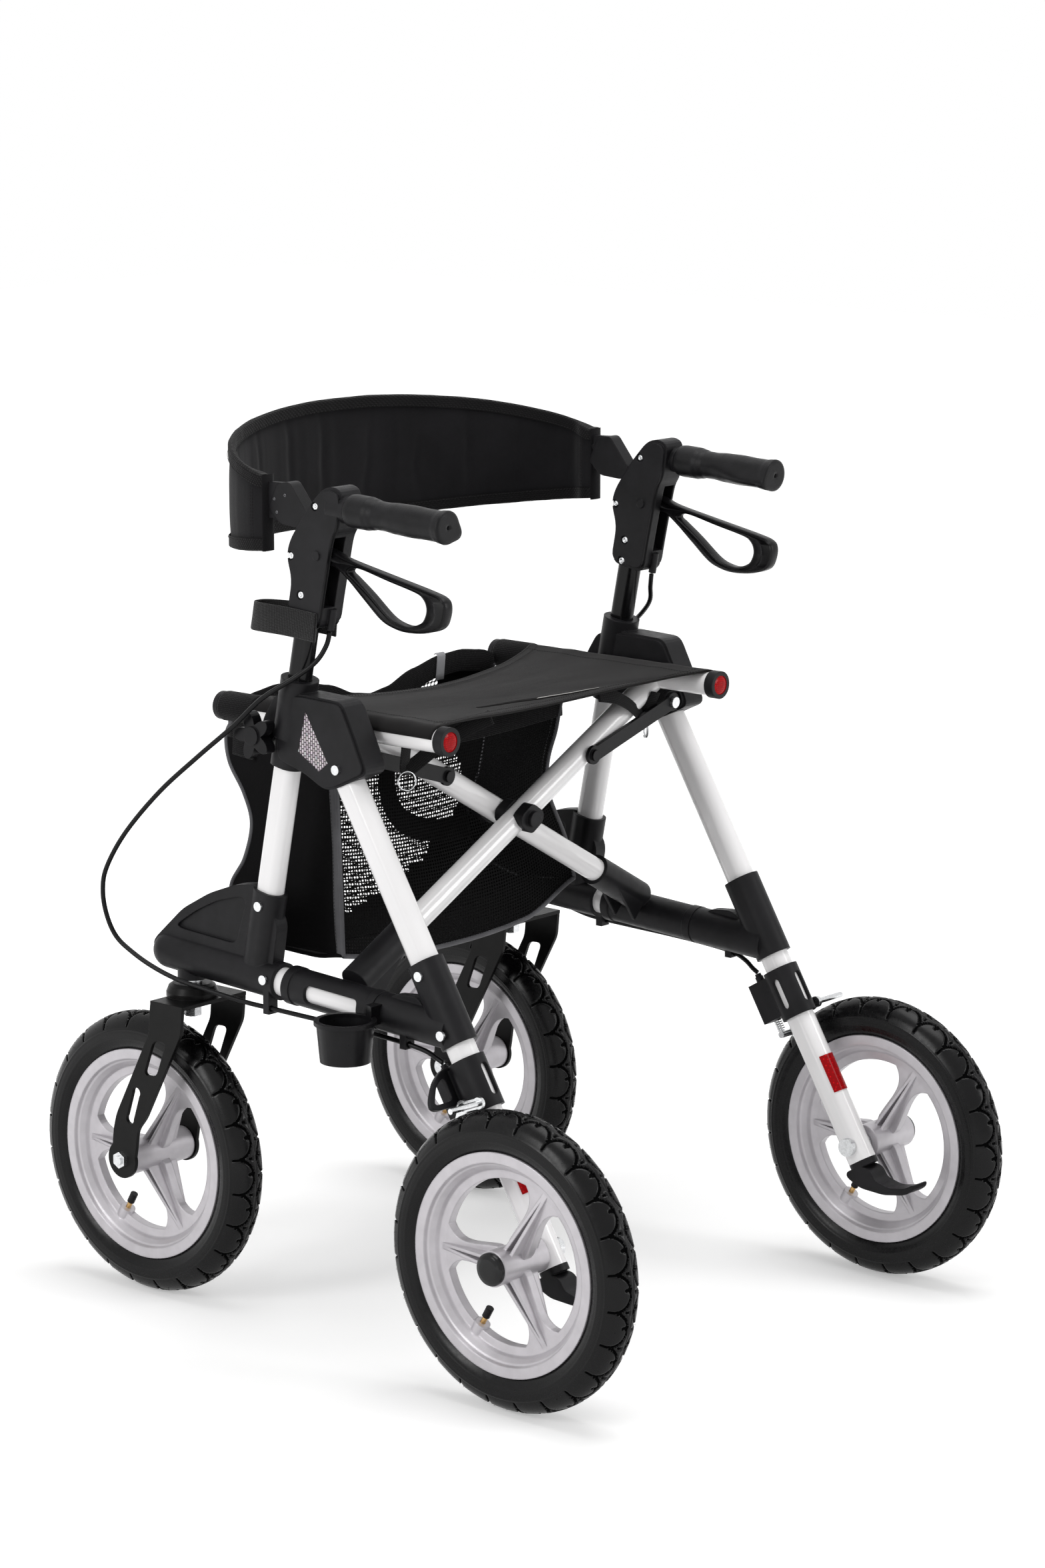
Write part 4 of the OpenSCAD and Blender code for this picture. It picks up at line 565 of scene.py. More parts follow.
def tread_depth(theta, w):
    """How far the rubber is cut in, in mm; w is the arc from the crown, in mm."""
    p = (theta / (2 * math.pi) * LOBES) % 1.0
    if w < 0:
        p = (p + 0.5) % 1.0
    a = abs(w)
    pitch = 2 * math.pi * TYRE_R / LOBES
    # scales: pointed at the wall, round at the crown
    q = abs(p - 0.5) * 2
    arc = 22.5 - 19.5 * math.sqrt(max(1 - q * q, 0.0))
    slope = 19.5 * q / math.sqrt(max(1 - q * q, 0.02)) * 2 / pitch
    d = abs(a - arc) / math.sqrt(1 + slope * slope)
    depth = 2.6 * math.exp(-(d / 1.35) ** 4)
    # the notch that makes a heart of each scale
    t = abs(p - 0.42) * pitch
    if 2.0 < a < 10.5:
        depth = max(depth, 2.4 * math.exp(-((t - 0.35 * max(9.5 - a, 0.0)) / 1.1) ** 4))
    # short cut from each cusp towards the wall
    t = min(p, 1 - p) * pitch
    if 20.0 < a < 27.0:
        depth = max(depth, 2.2 * math.exp(-(t / 1.1) ** 4) * smooth01((27.0 - a) / 2))
    # a slanted dash between the scales
    depth = max(depth, 2.2 * math.exp(-((t - 0.3 * abs(a - 6.0)) / 1.1) ** 4 - ((a - 6.0) / 3.0) ** 4))
    return max(depth, 0.8 * math.exp(-(a / 0.9) ** 2))


def on_wheel(x, r, th):
    """A point at x along the axle, radius r and angle th."""
    return x * MM, r * math.cos(th) * MM, r * math.sin(th) * MM


def tyre_mesh():
    mid, up, half = 127.0, 23.0, 22.0
    a0 = math.degrees(math.asin((RIM_EDGE_R - mid) / up))
    nt, na = 720, 118
    verts, faces, uvs, cut = [], [], [], []
    for i in range(nt):
        th = 2 * math.pi * i / nt
        for j in range(na + 1):
            a = math.radians(mix(a0, 180 - a0, j / na))
            w = (math.pi / 2 - a) * 23.5
            d = tread_depth(th, w) if abs(w) < TREAD_HALF else 0.0
            cut.append(d)
            # rings on the side wall
            for ring, s in ((31.0, 0.8), (40.5, 1.0)):
                d -= 0.6 * math.exp(-((abs(w) - ring) / s) ** 2)
            d = max(d, -0.3 if abs(w) < TREAD_HALF else -0.6)
            r = min(mid + (up - d) * math.sin(a), TYRE_R)
            x = max(-half, min(half, (half - d) * math.cos(a)))
            verts.append(on_wheel(x, r, th))
            uvs.append((th * 0.15, w * MM))
    m = na + 1
    for i in range(nt):
        for j in range(na):
            k = (i + 1) % nt
            faces.append((i * m + j, k * m + j, k * m + j + 1, i * m + j + 1))
    # beads tucked into the rim
    for row in (0, na):
        s = 1 if row == 0 else -1
        base = len(verts)
        for i in range(nt):
            th = 2 * math.pi * i / nt
            verts.append(on_wheel(s * BEAD_X, BEAD_R, th))
            uvs.append((th * 0.15, 0.05))
        for i in range(nt):
            k = (i + 1) % nt
            q = (i * m + row, base + i, base + k, k * m + row)
            faces.append(q if row == 0 else q[::-1])
    # moulding hairs on the shoulders
    rnd = random.Random(3)
    for _ in range(150):
        th = rnd.uniform(0, 2 * math.pi)
        s = rnd.choice((-1, 1))
        a = math.radians(rnd.uniform(28, 62))
        r, x = mid + up * math.sin(a), half * math.cos(a)
        h = rnd.uniform(1.5, 3.4)
        tip_r, tip_x = min(r + h * math.sin(a) * 0.6, 149.6), min(x + h * math.cos(a) * 0.5, 21.9)
        bend = rnd.uniform(-0.012, 0.012)
        base = len(verts)
        for e in (-1, 1):
            verts.append(on_wheel(s * x, r - 0.4, th + e * 0.0016))
        verts += [on_wheel(s * (x - 0.5), r, th), on_wheel(s * tip_x, tip_r, th + bend)]
        uvs += [(0, 0)] * 4
        faces += [(base, base + 1, base + 3), (base + 1, base + 2, base + 3), (base + 2, base, base + 3)]
    me = mesh_of("tyre", verts, faces, uvs)
    me.materials.append(RUBBER)
    me.materials.append(GROOVE_SHADE)
    # faces cut deep into the tread take the groove material: painted shade in the grooves
    for poly in me.polygons:
        depth = [cut[i] if i < len(cut) else 0.0 for i in poly.vertices]
        poly.material_index = 1 if sum(depth) / len(depth) > 1.1 else 0
    return me


TYRE = tyre_mesh()
WHEELS = []
for side, s in SIDES:
    WHEELS.append((side + "_front", (FRAME_X * s, AXLE_Y, TYRE_R), side + "_front_wheel"))
    WHEELS.append((side + "_rear", (REAR_X * s, -AXLE_Y, TYRE_R), side + "_rear_wheel"))
VALVE_AT = math.radians(-60.0)
for k, (name, c, body) in enumerate(WHEELS):
    o = link(name + "_tread", TYRE, RUBBER)
    o.matrix_world = Matrix.Translation(vec(*c)) @ Matrix.Rotation(math.radians(90.0 * k), 4, "X")
    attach(o, body)
    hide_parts(name + "_tyre")
    # the valve in the rim: brass stem, black cap
    centre = Vector(c)
    line = Vector((0.0, math.cos(VALVE_AT), math.sin(VALVE_AT)))

    def along(q, centre=centre, line=line):
        t = (q - centre).dot(line)
        return t, (q - centre - line * t).length

    paint(name + "_rim", [(SOFT_PLASTIC, lambda q: 61.0 < along(q)[0] < 73.0 and along(q)[1] < 4.6),
                          (BRASS, lambda q: 72.9 < along(q)[0] < 94.0 and along(q)[1] < 2.76)])


# seat
TUBE_X, TUBE_Z = 213.0, 629.0
HEM_R = 14.7
SEAT_REAR, SEAT_FRONT = -100, 150


def seat_edge(x):
    f = 1 - (x / TUBE_X) ** 2
    return SEAT_REAR + 34 * f, SEAT_FRONT - 52 * f


def seat_top(x, y):
    f = 1 - (x / TUBE_X) ** 2
    z = 644.2 - 12 * f
    r, q = seat_edge(x)
    v = (y - r) / (q - r)
    pull = math.exp(-(v / 0.16) ** 2) + 0.8 * math.exp(-((v - 1.0) / 0.16) ** 2)
    z += 1.6 * pull * f * (0.5 + 0.5 * wave1(x / 70.0, 3))
    # folds that run from tube to tube, strongest near the tubes
    near = math.exp(-((abs(x) - TUBE_X) / 70.0) ** 2)
    z += 0.9 * near * math.sin(y / 11.0 + 1.3 * wave1(x / 60.0, 9)) * (0.5 + 0.5 * wave1(y / 30.0, 4))
    z += 0.9 * f * wave2(x / 90.0, y / 26.0, 5)
    # tension lines from the rear corners
    for c in (-1, 1):
        dx, dy = x - c * TUBE_X, y - SEAT_REAR
        ang = math.atan2(dy, -c * dx) if (dx or dy) else 0.0
        dist = math.hypot(dx, dy)
        for high, at, wide, reach in ((1.5, 0.30, 0.07, 230.0), (-1.1, 0.47, 0.08, 200.0)):
            ridge = high * math.exp(-((ang - at) / wide) ** 2)
            z += ridge * smooth01(dist / 50) * math.exp(-(dist / reach) ** 2)
    # folded hems at the free edges
    for e in (y - r, q - y):
        z += 0.7 * (1 - smooth01((e - 13) / 2.5)) * f ** 0.3
    return z


def seat_point(u, v):
    """u runs over the left tube, across the seat and over the right tube."""
    a0 = 0.04
    if u < a0 or u > 1 - a0:
        s = -1 if u < a0 else 1
        t = (u / a0) if u < a0 else (1 - u) / a0
        phi = mix(-192.0, -270.0, t)
        x = s * (TUBE_X - HEM_R * math.cos(math.radians(phi)))
        z = TUBE_Z + HEM_R * math.sin(math.radians(phi))
        r, q = seat_edge(TUBE_X)
        y = mix(r, q, v)
        z += 0.25 * math.sin(y / 7.0 + 3 * t) * math.sin(math.pi * t)
        return vec(x, y, z)
    x = mix(-TUBE_X, TUBE_X, (u - a0) / (1 - 2 * a0))
    r, q = seat_edge(x)
    y = mix(r, q, v)
    return vec(x, y, seat_top(x, y))


seat = grid("seat_cloth", seat_point, 120, 84, SEAT, size=(0.52, 0.25))
solid(seat, 2.0, -1.0)
bake(seat)


def on_seat(x, y):
    return vec(x, y, seat_top(x, y) + 0.2)


UP = Vector((0, 0, 1))
seams = []
for edge, off in ((0, 3), (0, 12), (1, -3), (1, -12)):
    run = [mix(-TUBE_X + 6, TUBE_X - 6, i / 90) for i in range(91)]
    seams.append(stitches([on_seat(x, seat_edge(x)[edge] + off) for x in run], UP))
for s in (-1, 1):
    run = [mix(SEAT_REAR + 2, SEAT_FRONT - 2, i / 49) for i in range(50)]
    seams.append(stitches([on_seat(s * (TUBE_X - 20), y) for y in run], UP))
seam = join("seat_stitching", seams)


# the pale edge of the pull opening near the rear hem, and the rolled lips beside it; it runs aslant
def slit_ahead(x):
    return 45.0 - 18.0 * (x + 74) / 83 if x < 9 else 27.0 - 7.0 * smooth01((x - 9) / 54)


lip = []
n = 44
swell = [0.25 + 0.75 * math.sin(math.pi * min(max(i / n, 0.02), 0.98)) ** 0.5 for i in range(n + 1)]
for k, (off, r, m) in enumerate(((-2.0, 0.9, SEAT), (2.0, 0.9, SEAT), (0.0, 0.5, PALE))):
    pts = []
    for i in range(n + 1):
        t = i / n
        x = mix(-74, 88, t)
        bow = math.sin(math.pi * t) ** 0.7
        y = seat_edge(x)[0] + slit_ahead(x) + off * bow
        z = seat_top(x, y) + (0.5 if k < 2 else 0.1 if t < 0.5 else 1.0)
        pts.append(vec(x, y, z))
    lip.append(tube("lip", pts, [r * q for q in swell], m, 8))
opening = join("seat_pull_opening", lip)
for o in (seat, seam, opening):
    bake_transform(o)
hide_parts("seat_sling")


# basket
BW = 200.0
NET_X = 184
REAR_Y = 60.0
FLOOR_Z, NET_TOP = 390, 598


def basket_sag(x):
    """How far the middle of the floor hangs below the corners, in mm."""
    return 26.0 * (1 - (abs(x + 12) / 212) ** 2.2)


def rear_x(u, z):
    """The left edge is straight; the slack right edge caves in."""
    left = -NET_X - 7 * (z - 389) / 160
    right = NET_X - 50 * math.exp(-((z - 522) / 74) ** 2) - 8 * smooth01((z - 560) / 40)
    return mix(left, right, u)


def rear_y(x, z):
    h = (z - FLOOR_Z) / (NET_TOP - FLOOR_Z)
    bow = (1 - (x / BW) ** 2) * math.sin(math.pi * min(max(h, 0), 1))
    return REAR_Y + 4.0 * wave2(x / 90.0, z / 80.0, 11) * bow - 1.5 * bow


def rear_net(u, v):
    flat = mix(-NET_X, NET_X, u)
    low = FLOOR_Z + 16 * smooth01((flat - 100) / 84) - basket_sag(flat)
    top = 600 - 7 * (1 - (flat / BW) ** 2)
    z = mix(low, top, v)
    x = rear_x(u, z)
    return vec(x, rear_y(x, z), z)


def front_x(u, z):
    right = BW - 58 * math.exp(-((z - 485) / 62) ** 2)
    return mix(-BW, right, u)


# the front panel from the floor up and the height of its rim from the middle out: y, z and x, z
FRONT = [(150, FLOOR_Z), (190, 404), (203.5, 438), (183, 471), (172.5, 508), (183, 538), (203.5, 568),
         (207, 598), (190, 620)]
RIM = [(0, 602), (28, 606), (67, 620), (109, 629), (143, 631), (175, 627), (200, 619)]


def rim_z(x):
    x = abs(x)
    for (a, za), (b, zb) in zip(RIM, RIM[1:]):
        if x <= b:
            return mix(za, zb, smooth01((x - a) / (b - a)) * 0.5 + 0.5 * (x - a) / (b - a))
    return RIM[-1][1]


def front_at(v):
    t = min(max(v, 0.0), 1.0) * (len(FRONT) - 1)
    i = min(int(t), len(FRONT) - 2)
    p = [Vector((*FRONT[max(min(k, len(FRONT) - 1), 0)], 0.0)) for k in (i - 1, i, i + 1, i + 2)]
    return spline(*p, t - i)


def front_net(u, v):
    p = front_at(v)
    x = front_x(u, p.y)
    f = 1 - (x / BW) ** 2
    y = p.x - 4 * f * math.sin(math.pi * v) + 3 * wave2(x / 80.0, p.y / 70.0, 21) * f * math.sin(math.pi * v)
    z = p.y - basket_sag(x) * (1 - v) ** 2 + (rim_z(x) - 619) * smooth01((v - 0.55) / 0.45)
    return vec(x, y, z)


def floor_cloth(u, v):
    a, b = rear_net(u, 0.0), front_net(u, 0.0)
    q = a.lerp(b, v)
    q.z += (-4 * math.sin(math.pi * v) + 1.5 * wave2(q.x * 1000 / 60.0, q.y * 1000 / 30.0, 31)) * MM
    return q


def side_cloth(e):
    """Side panel between the rear edge and the front edge; e is 0 on the left, 1 on the right."""
    def fn(u, v):
        a, b = rear_net(e, v), front_net(e, v * 0.93)
        q = a.lerp(b, u)
        bulge = math.sin(math.pi * u) * math.sin(math.pi * min(v * 1.05, 1.0))
        y, z = q.y * 1000, q.z * 1000
        q.x += (1 if e else -1) * 2.5 * bulge * (0.4 + wave2(y / 50.0, z / 60.0, 41 + e)) * MM
        return q
    return fn


def closed_net(q):
    """Where the front panel is plain cloth: its lower right corner."""
    x, z = q.x * 1000, q.z * 1000
    edge = [(-240, 372), (-36, 384), (6, 392), (56, 405), (94, 418), (112, 440), (122, 474), (126, 640)]
    if x > 126:
        return True
    for (xa, za), (xb, zb) in zip(edge, edge[1:]):
        if xa <= x < xb:
            return z < mix(za, zb, (x - xa) / (xb - xa))
    return False


def net(name, fn, nu, nv, open_share, closed=None):
    """Woven net: one opening in each cell of the sheet."""
    verts, faces, uvs = [], [], []
    ids = {}

    def corner(i, j):
        if (i, j) not in ids:
            ids[(i, j)] = len(verts)
            u = i / nu
            verts.append(fn(u, j / nv))
            uvs.append((u * 0.4, j / nv * 0.21))
        return ids[(i, j)]

    for j in range(nv):
        for i in range(nu):
            q = [corner(i, j), corner(i + 1, j), corner(i + 1, j + 1), corner(i, j + 1)]
            c = (verts[q[0]] + verts[q[1]] + verts[q[2]] + verts[q[3]]) / 4
            if closed and closed(c):
                faces.append(tuple(q))
                continue
            base = len(verts)
            for k in range(4):
                a, b = verts[q[k]], verts[q[(k + 1) % 4]]
                verts += [c + (a - c) * open_share * 0.78, c + ((a + b) / 2 - c) * open_share]
            cu = sum(uvs[x][0] for x in q) / 4
            cw = sum(uvs[x][1] for x in q) / 4
            uvs.extend([(cu, cw)] * 8)
            for k in range(4):
                n2 = (k + 1) % 4
                faces.append((q[k], q[n2], base + 2 * k + 1, base + 2 * k))
                faces.append((q[n2], base + 2 * n2, base + 2 * k + 1))
    return link(name, mesh_of(name, verts, faces, uvs, smooth=False), NET)


parts = [net("n1", rear_net, 92, 62, 0.62), net("n2", front_net, 70, 52, 0.80, closed_net)]
cloths = [grid("f", floor_cloth, 60, 16, PANEL, size=(0.4, 0.10))]
for e in (0, 1):
    cloths.append(grid("p", side_cloth(e), 30, 40, PANEL, size=(0.14, 0.21)))
for c in cloths:
    solid(c, 1.2, 0.0)
    bake(c)
parts += cloths


def edge_run(fn, n=70):
    return [fn(i / n) for i in range(n + 1)]


# grey piping on the upright rear edges, along the floor and up the front edges
for s in (0.0, 1.0):
    parts.append(tube("e", edge_run(lambda t: rear_net(s, t)), 2.3, PIPING, 10))
    parts.append(tube("e", edge_run(lambda t: front_net(s, t)), 2.3, PIPING, 10))
    parts.append(tube("e", edge_run(lambda t: floor_cloth(s, t), 16), 2.3, PANEL, 10))
parts.append(tube("e", edge_run(lambda t: rear_net(t, 0.0), 90), 2.6, PIPING, 10))
parts.append(tube("e", edge_run(lambda t: front_net(t, 0.0), 90), 2.2, PANEL, 10))
# flat binding beside the rear uprights, as sewn on the side panel
for e, s in ((0, -1), (1, 1)):
    panel = side_cloth(e)
    pts = [panel(0.035, i / 40) + vec(s * 0.9, 0, 0) for i in range(41)]
    parts.append(ribbon("b", pts, Vector((s, 0, 0)), 9, 1.0, PIPING))
    parts.append(stitches([q + Vector((s * 0.6 * MM, 3.2 * MM, 0)) for q in pts], Vector((s, 0, 0))))
# rims: webbing over the upper edges
rim = [rear_net(i / 60.0, 1.0) + vec(0, 0, -5) for i in range(61)]
parts.append(ribbon("r", rim, Vector((0, -1, 0)), 22, 2.4, WEB))
rim = [front_net(i / 60.0, 0.985) for i in range(61)]
parts.append(ribbon("r", rim, Vector((0, 1, 0.1)), 24, 2.6, WEB))
edge = front_net(0.775, 0.985)
tab = [edge + vec(0, -2.4 - 0.1 * h, h) for h in (-15, -8, 0, 6, 11)]
tab += [edge + vec(0, -2.6, 13.4), edge + vec(0, -0.8, 14.4), edge + vec(0, 1.6, 13.2)]
ups = [Vector((0, -1, 0))] * 5 + [Vector((0, -0.7, 0.7)), Vector((0, 0, 1)), Vector((0, 0.7, 0.7))]
parts.append(ribbon("g", tab, ups, 13, 0.9, TAB))
# side top bindings
for e, s in ((0, -1), (1, 1)):
    panel = side_cloth(e)
    pts = [panel(i / 20, 0.97) for i in range(21)]
    parts.append(ribbon("r", pts, Vector((s, 0, 0)), 20, 2.4, WEB))
# webbing loops round the seat tubes at the front, down to the rim
for s in (-1, 1):
    pts, ups = [], []
    for k in range(25):
        ph = math.radians(mix(-62, 242, k / 24))
        d = Vector((math.cos(ph) * -s, 0, math.sin(ph)))
        pts.append(vec(s * TUBE_X, 169.5, TUBE_Z) + d * (14.6 * MM))
        ups.append(d)
    parts.append(ribbon("w", pts, ups, 47, 2.2, WEB))
    pts = vecs(((TUBE_X - 6.5, 176, 616.5), (205, 178, 608), (202.5, 180, 596), (201.5, 182, 575)), s)
    parts.append(ribbon("w", catmull(pts, 5), Vector((s, 0, 0.2)), 31, 2.2, WEB))
# the sewn-on strap that hangs across the rear net
pts = vecs(((-112, 64, 566), (-108, 66, 536), (-92, 68, 512), (-66, 69, 496), (-34, 69, 487),
            (-6, 67, 484), (14, 64, 486)))
parts.append(ribbon("h", catmull(pts, 8), Vector((0, -1, 0.1)), 24, 1.6, PANEL))
basket = join("basket_bag", parts)
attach(basket, "basket")
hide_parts("basket")
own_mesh(basket)


# backrest band
BAND_ARC, BAND_TAIL = 560.0, 7.0
BAND_RUN = BAND_ARC + 2 * BAND_TAIL
BAND_X, BAND_DEEP = 258.0, 145.0


def band_frame(t):
    """Middle point, outward direction, height and run at t, from the left end (0) to the right end (1)."""
    s = t * BAND_RUN
    end = min(s, BAND_RUN - s)
    if end < BAND_TAIL:
        c = -1 if s < BAND_TAIL else 1
        p, n, f = Vector((c * BAND_X, 93 + end, 0)), Vector((c, 0, 0)), 0.0
    else:
        a = math.pi * (1 - (s - BAND_TAIL) / BAND_ARC)
        p = Vector((BAND_X * math.cos(a), 100 + BAND_DEEP * math.sin(a), 0))
        n = Vector((math.cos(a) / BAND_X, math.sin(a) / BAND_DEEP, 0)).normalized()
        f = math.sin(a)
    h = 76 + 56 * f
    p.z = 842 + 0.25 * (h - 76)
    return p, n, h, s


def pocket(s):
    """The ends are pockets over the arm plates: how much deeper the band is there, in mm."""
    return 9.0 * (1 - smooth01((min(s, BAND_RUN - s) - 13) / 26))


def band_surface(t, v, inner):
    p, n, h, s = band_frame(t)
    z = p.z + (v - 0.5) * (h - 6)
    swell = 1 - abs(2 * v - 1) ** 3
    fold = 0.0
    for seed, pitch, amp in ((1, 17.0, 1.1), (2, 41.0, 1.2)):
        fold += amp * wave1(s / pitch + 0.25 * wave1(v * 2.0, seed + 5), seed) * swell
    crease = 0.0
    for k, at in enumerate((91, 139, 187, 235, 278, 325, 371, 420, 468)):
        c = at + 9 * wave1(v * 1.5 + k * 3.1, 13)
        crease += math.exp(-((s - c) / 3.2) ** 2) * (0.5 + 0.5 * wave1(v * 2.2 + k * 1.7, 15))
    d = 2.0 * swell + 0.7
    if inner:
        d += pocket(s)
        d = -(d + fold * 0.8 - 1.9 * crease * swell)
    else:
        d = d + 0.35 * fold
    q = p + n * d
    q.z = z
    return q * MM


def band_half(side):
    lo, hi = (0.0, 0.5) if side == "left" else (0.5, 1.0)
    made = []
    for inner in (True, False):
        def fn(u, v, inner=inner):
            return band_surface(mix(lo, hi, u), v if inner else 1 - v, inner)
        made.append(grid("b", fn, 150, 22, BAND, size=(0.315, 0.13), start=lo * 0.63))
    # twill binding over the upper and lower edges
    for e, up in ((0.0, -1), (1.0, 1)):
        def fn(u, v, e=e, up=up):
            p, n, h, s = band_frame(mix(lo, hi, u))
            a = v * 2 - 1
            z = p.z + 0.5 * up * (h + 1.5) - up * 13.0 * (abs(a) ** 1.2)
            out = 3.7 * (1 if a > 0 else -1) * min(abs(a) * 5, 1.0) ** 0.5
            if a < 0:
                out -= pocket(s) * min(abs(a) * 5, 1.0)
            out *= 1.0 + 0.10 * wave1(s / 14.0, 31 + e)
            q = p + n * out
            q.z = z + 0.5 * wave1(s / 23.0, 37 + e)
            return q * MM
        made.append(grid("t", fn, 150, 18, TWILL, size=(0.315, 0.03), start=lo * 0.63))
        for inner in (-1, 1):
            pts, ups = [], []
            for i in range(151):
                p, n, h, s = band_frame(mix(lo, hi, i / 150))
                q = p + n * (inner * 4.0)
                if inner < 0:
                    q -= n * pocket(s)
                q.z = p.z + 0.5 * up * (h + 1.5) - up * 11.0
                pts.append(q * MM)
                ups.append(n * inner)
            made.append(stitches(pts, ups, 3.4, 2.3))
    # sewn end: the cloth turns round the arm plate
    end = 0.0 if side == "left" else 1.0

    def fn(u, v):
        p, n, h, _ = band_frame(end)
        a = math.pi * v
        q = p + n * (-4.6 + 8.3 * math.cos(a)) + Vector((0, -2.0 * math.sin(a), 0))
        q.z = p.z + (u - 0.5) * (h + 1)
        return q * MM
    made.append(grid("e", fn, 20, 12, BAND, size=(0.076, 0.02)))
    for off in (16.0, 19.5):
        p, n, h, s = band_frame(off / BAND_RUN if side == "left" else 1 - off / BAND_RUN)
        for inner, reach in ((-1, 2.9 + pocket(off)), (1, 2.9)):
            q = p + n * (inner * reach)
            pts = [vec(q.x, q.y, p.z + (k / 20 - 0.5) * (h - 24)) for k in range(21)]
            made.append(stitches(pts, n * inner, 3.2, 2.1))
    o = join(side + "_band_half", made)
    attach(o, side + "_handle")
    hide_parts("backrest_band")
    return o


for side, s in SIDES:
    half = band_half(side)
    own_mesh(half)


# brake cables and springs
ROUTE = [(251, 12, 730), (253, 15, 716), (261, 22, 700), (271, 40, 684), (285, 74, 660), (291, 108, 629),
         (294, 156, 592), (297, 208, 550), (299, 256, 502), (300, 284, 462), (300, 291, 436), (299, 287, 410),
         (297, 275, 388), (293, 254, 373), (288, 230, 361), (283, 202, 352), (277, 170, 346), (271, 138, 341),
         (267, 112, 338), (265, 88, 337), (264, 44, 336), (263, -6, 335), (262, -56, 333), (260, -96, 330),
         (255, -118, 325), (252, -130, 319), (251, -137.3, 315.6)]
for side, s in SIDES:
    pts = catmull(vecs(ROUTE, s), 6)
    length = sum((b - a).length for a, b in zip(pts, pts[1:]))
    o = tube(side + "_cable_run", pts, 2.5, JACKET, 14)
    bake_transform(o)
    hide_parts(side + "_brake_cable")
    tuple(pts[0])
    [tuple(p) for p in pts]
    # spring on the brake wire, beside the leg
    ax = Vector((0, math.sin(LEG_TILT), math.cos(LEG_TILT)))
    nx = Vector((0, math.cos(LEG_TILT), -math.sin(LEG_TILT)))
    origin = vec(FRAME_X * s, -AXLE_Y, TYRE_R) + nx * (31.0 * MM)
    pts = []
    for i in range(160):
        t = i / 159
        a = 2 * math.pi * 5.0 * t
        ring = (Vector((1, 0, 0)) * math.cos(a) + nx * math.sin(a)) * (3.9 * MM)
        pts.append(origin + ax * (mix(143.4, 155.4, t) * MM) + ring)
    o = tube(side + "_spring_wire", pts, 0.6, ZINC, 8)
    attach(o, side + "_frame")
    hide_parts(side + "_brake_spring")


# grips: a smooth waisted sleeve with a palm rest that grows out on the inner side
GRIP_X = 256.0
GRIP_SHAPE = [(0.0, 13.6), (0.02, 16.2), (0.06, 16.8), (0.20, 16.7), (0.25, 15.6), (0.30, 14.3), (0.37, 14.2),
              (0.50, 15.4), (0.65, 15.9), (0.80, 15.3), (0.90, 15.4), (0.95, 16.4), (0.985, 16.9),
              (0.996, 16.0), (1.0, 14.5)]


def grip_radius(t):
    for (a, ra), (b, rb) in zip(GRIP_SHAPE, GRIP_SHAPE[1:]):
        if t <= b:
            return mix(ra, rb, smooth01((t - a) / (b - a)))
    return GRIP_SHAPE[-1][1]


def grip_sleeve(s):
    drop = math.radians(2.5)
    line = Vector((0, -math.cos(drop), -math.sin(drop)))
    up = Vector((0, -math.sin(drop), math.cos(drop)))
    root = vec(GRIP_X * s, -23.0, 855.0)

    def fn(u, v):
        t = min(u / 0.94, 1.0)
        close = 1 - max(u - 0.94, 0.0) / 0.06
        a = 2 * math.pi * v
        r = grip_radius(t) * (close if t == 1.0 else 1.0)
        off = (a - math.radians(205.0) + math.pi) % (2 * math.pi) - math.pi
        r += 6.0 * smooth01((t - 0.42) / 0.42) * math.exp(-(off / 0.42) ** 2) * close
        r = max(r, 1.6)
        depth = 128.0 * t - (3.0 if u == 1.0 else 0.0)
        return root + line * (depth * MM) + (Vector((s, 0, 0)) * math.cos(a) + up * math.sin(a)) * (r * MM)
    return fn


for side, s in SIDES:
    o = grid(side + "_grip_sleeve", grip_sleeve(s), 100, 64, GRIP, wrap_v=True)
    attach(o, side + "_handle")
    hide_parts(side + "_grip")


# brake levers: slender closed loops over the plain solids
LOOP_OUT = [(20, 812), (10, 816), (-2.5, 813), (-22, 806.5), (-75, 796), (-129, 785.5), (-146, 780.5),
            (-151, 773), (-149.5, 761), (-143, 750.5), (-125, 744.5), (-102, 742.5), (-84, 744.5),
            (-66, 751.5), (-44, 769), (-22, 787), (-6, 797), (10, 799.5), (20, 804)]
LOOP_IN = [(-23, 794.5), (-29, 798.5), (-41, 798.3), (-75, 790.6), (-112, 782.6), (-122, 777.5), (-126, 770),
           (-125, 762), (-119, 754), (-104, 749), (-90, 750.5), (-75, 756.8), (-50, 775.8), (-30, 789.5)]


def closed_curve(points, steps):
    ring = [Vector((*p, 0.0)) for p in points]
    m = len(ring)
    out = []
    for i in range(m):
        four = [ring[(i + k) % m] for k in (-1, 0, 1, 2)]
        out += [spline(*four, k / steps) for k in range(steps)]
    return out


def inset(loop, by):
    """The loop moved to its left by a distance, in mm."""
    m = len(loop)
    out = []
    for i, q in enumerate(loop):
        t = (loop[(i + 1) % m] - loop[i - 1]).normalized()
        out.append(q + Vector((-t.y, t.x, 0.0)) * by)
    return out


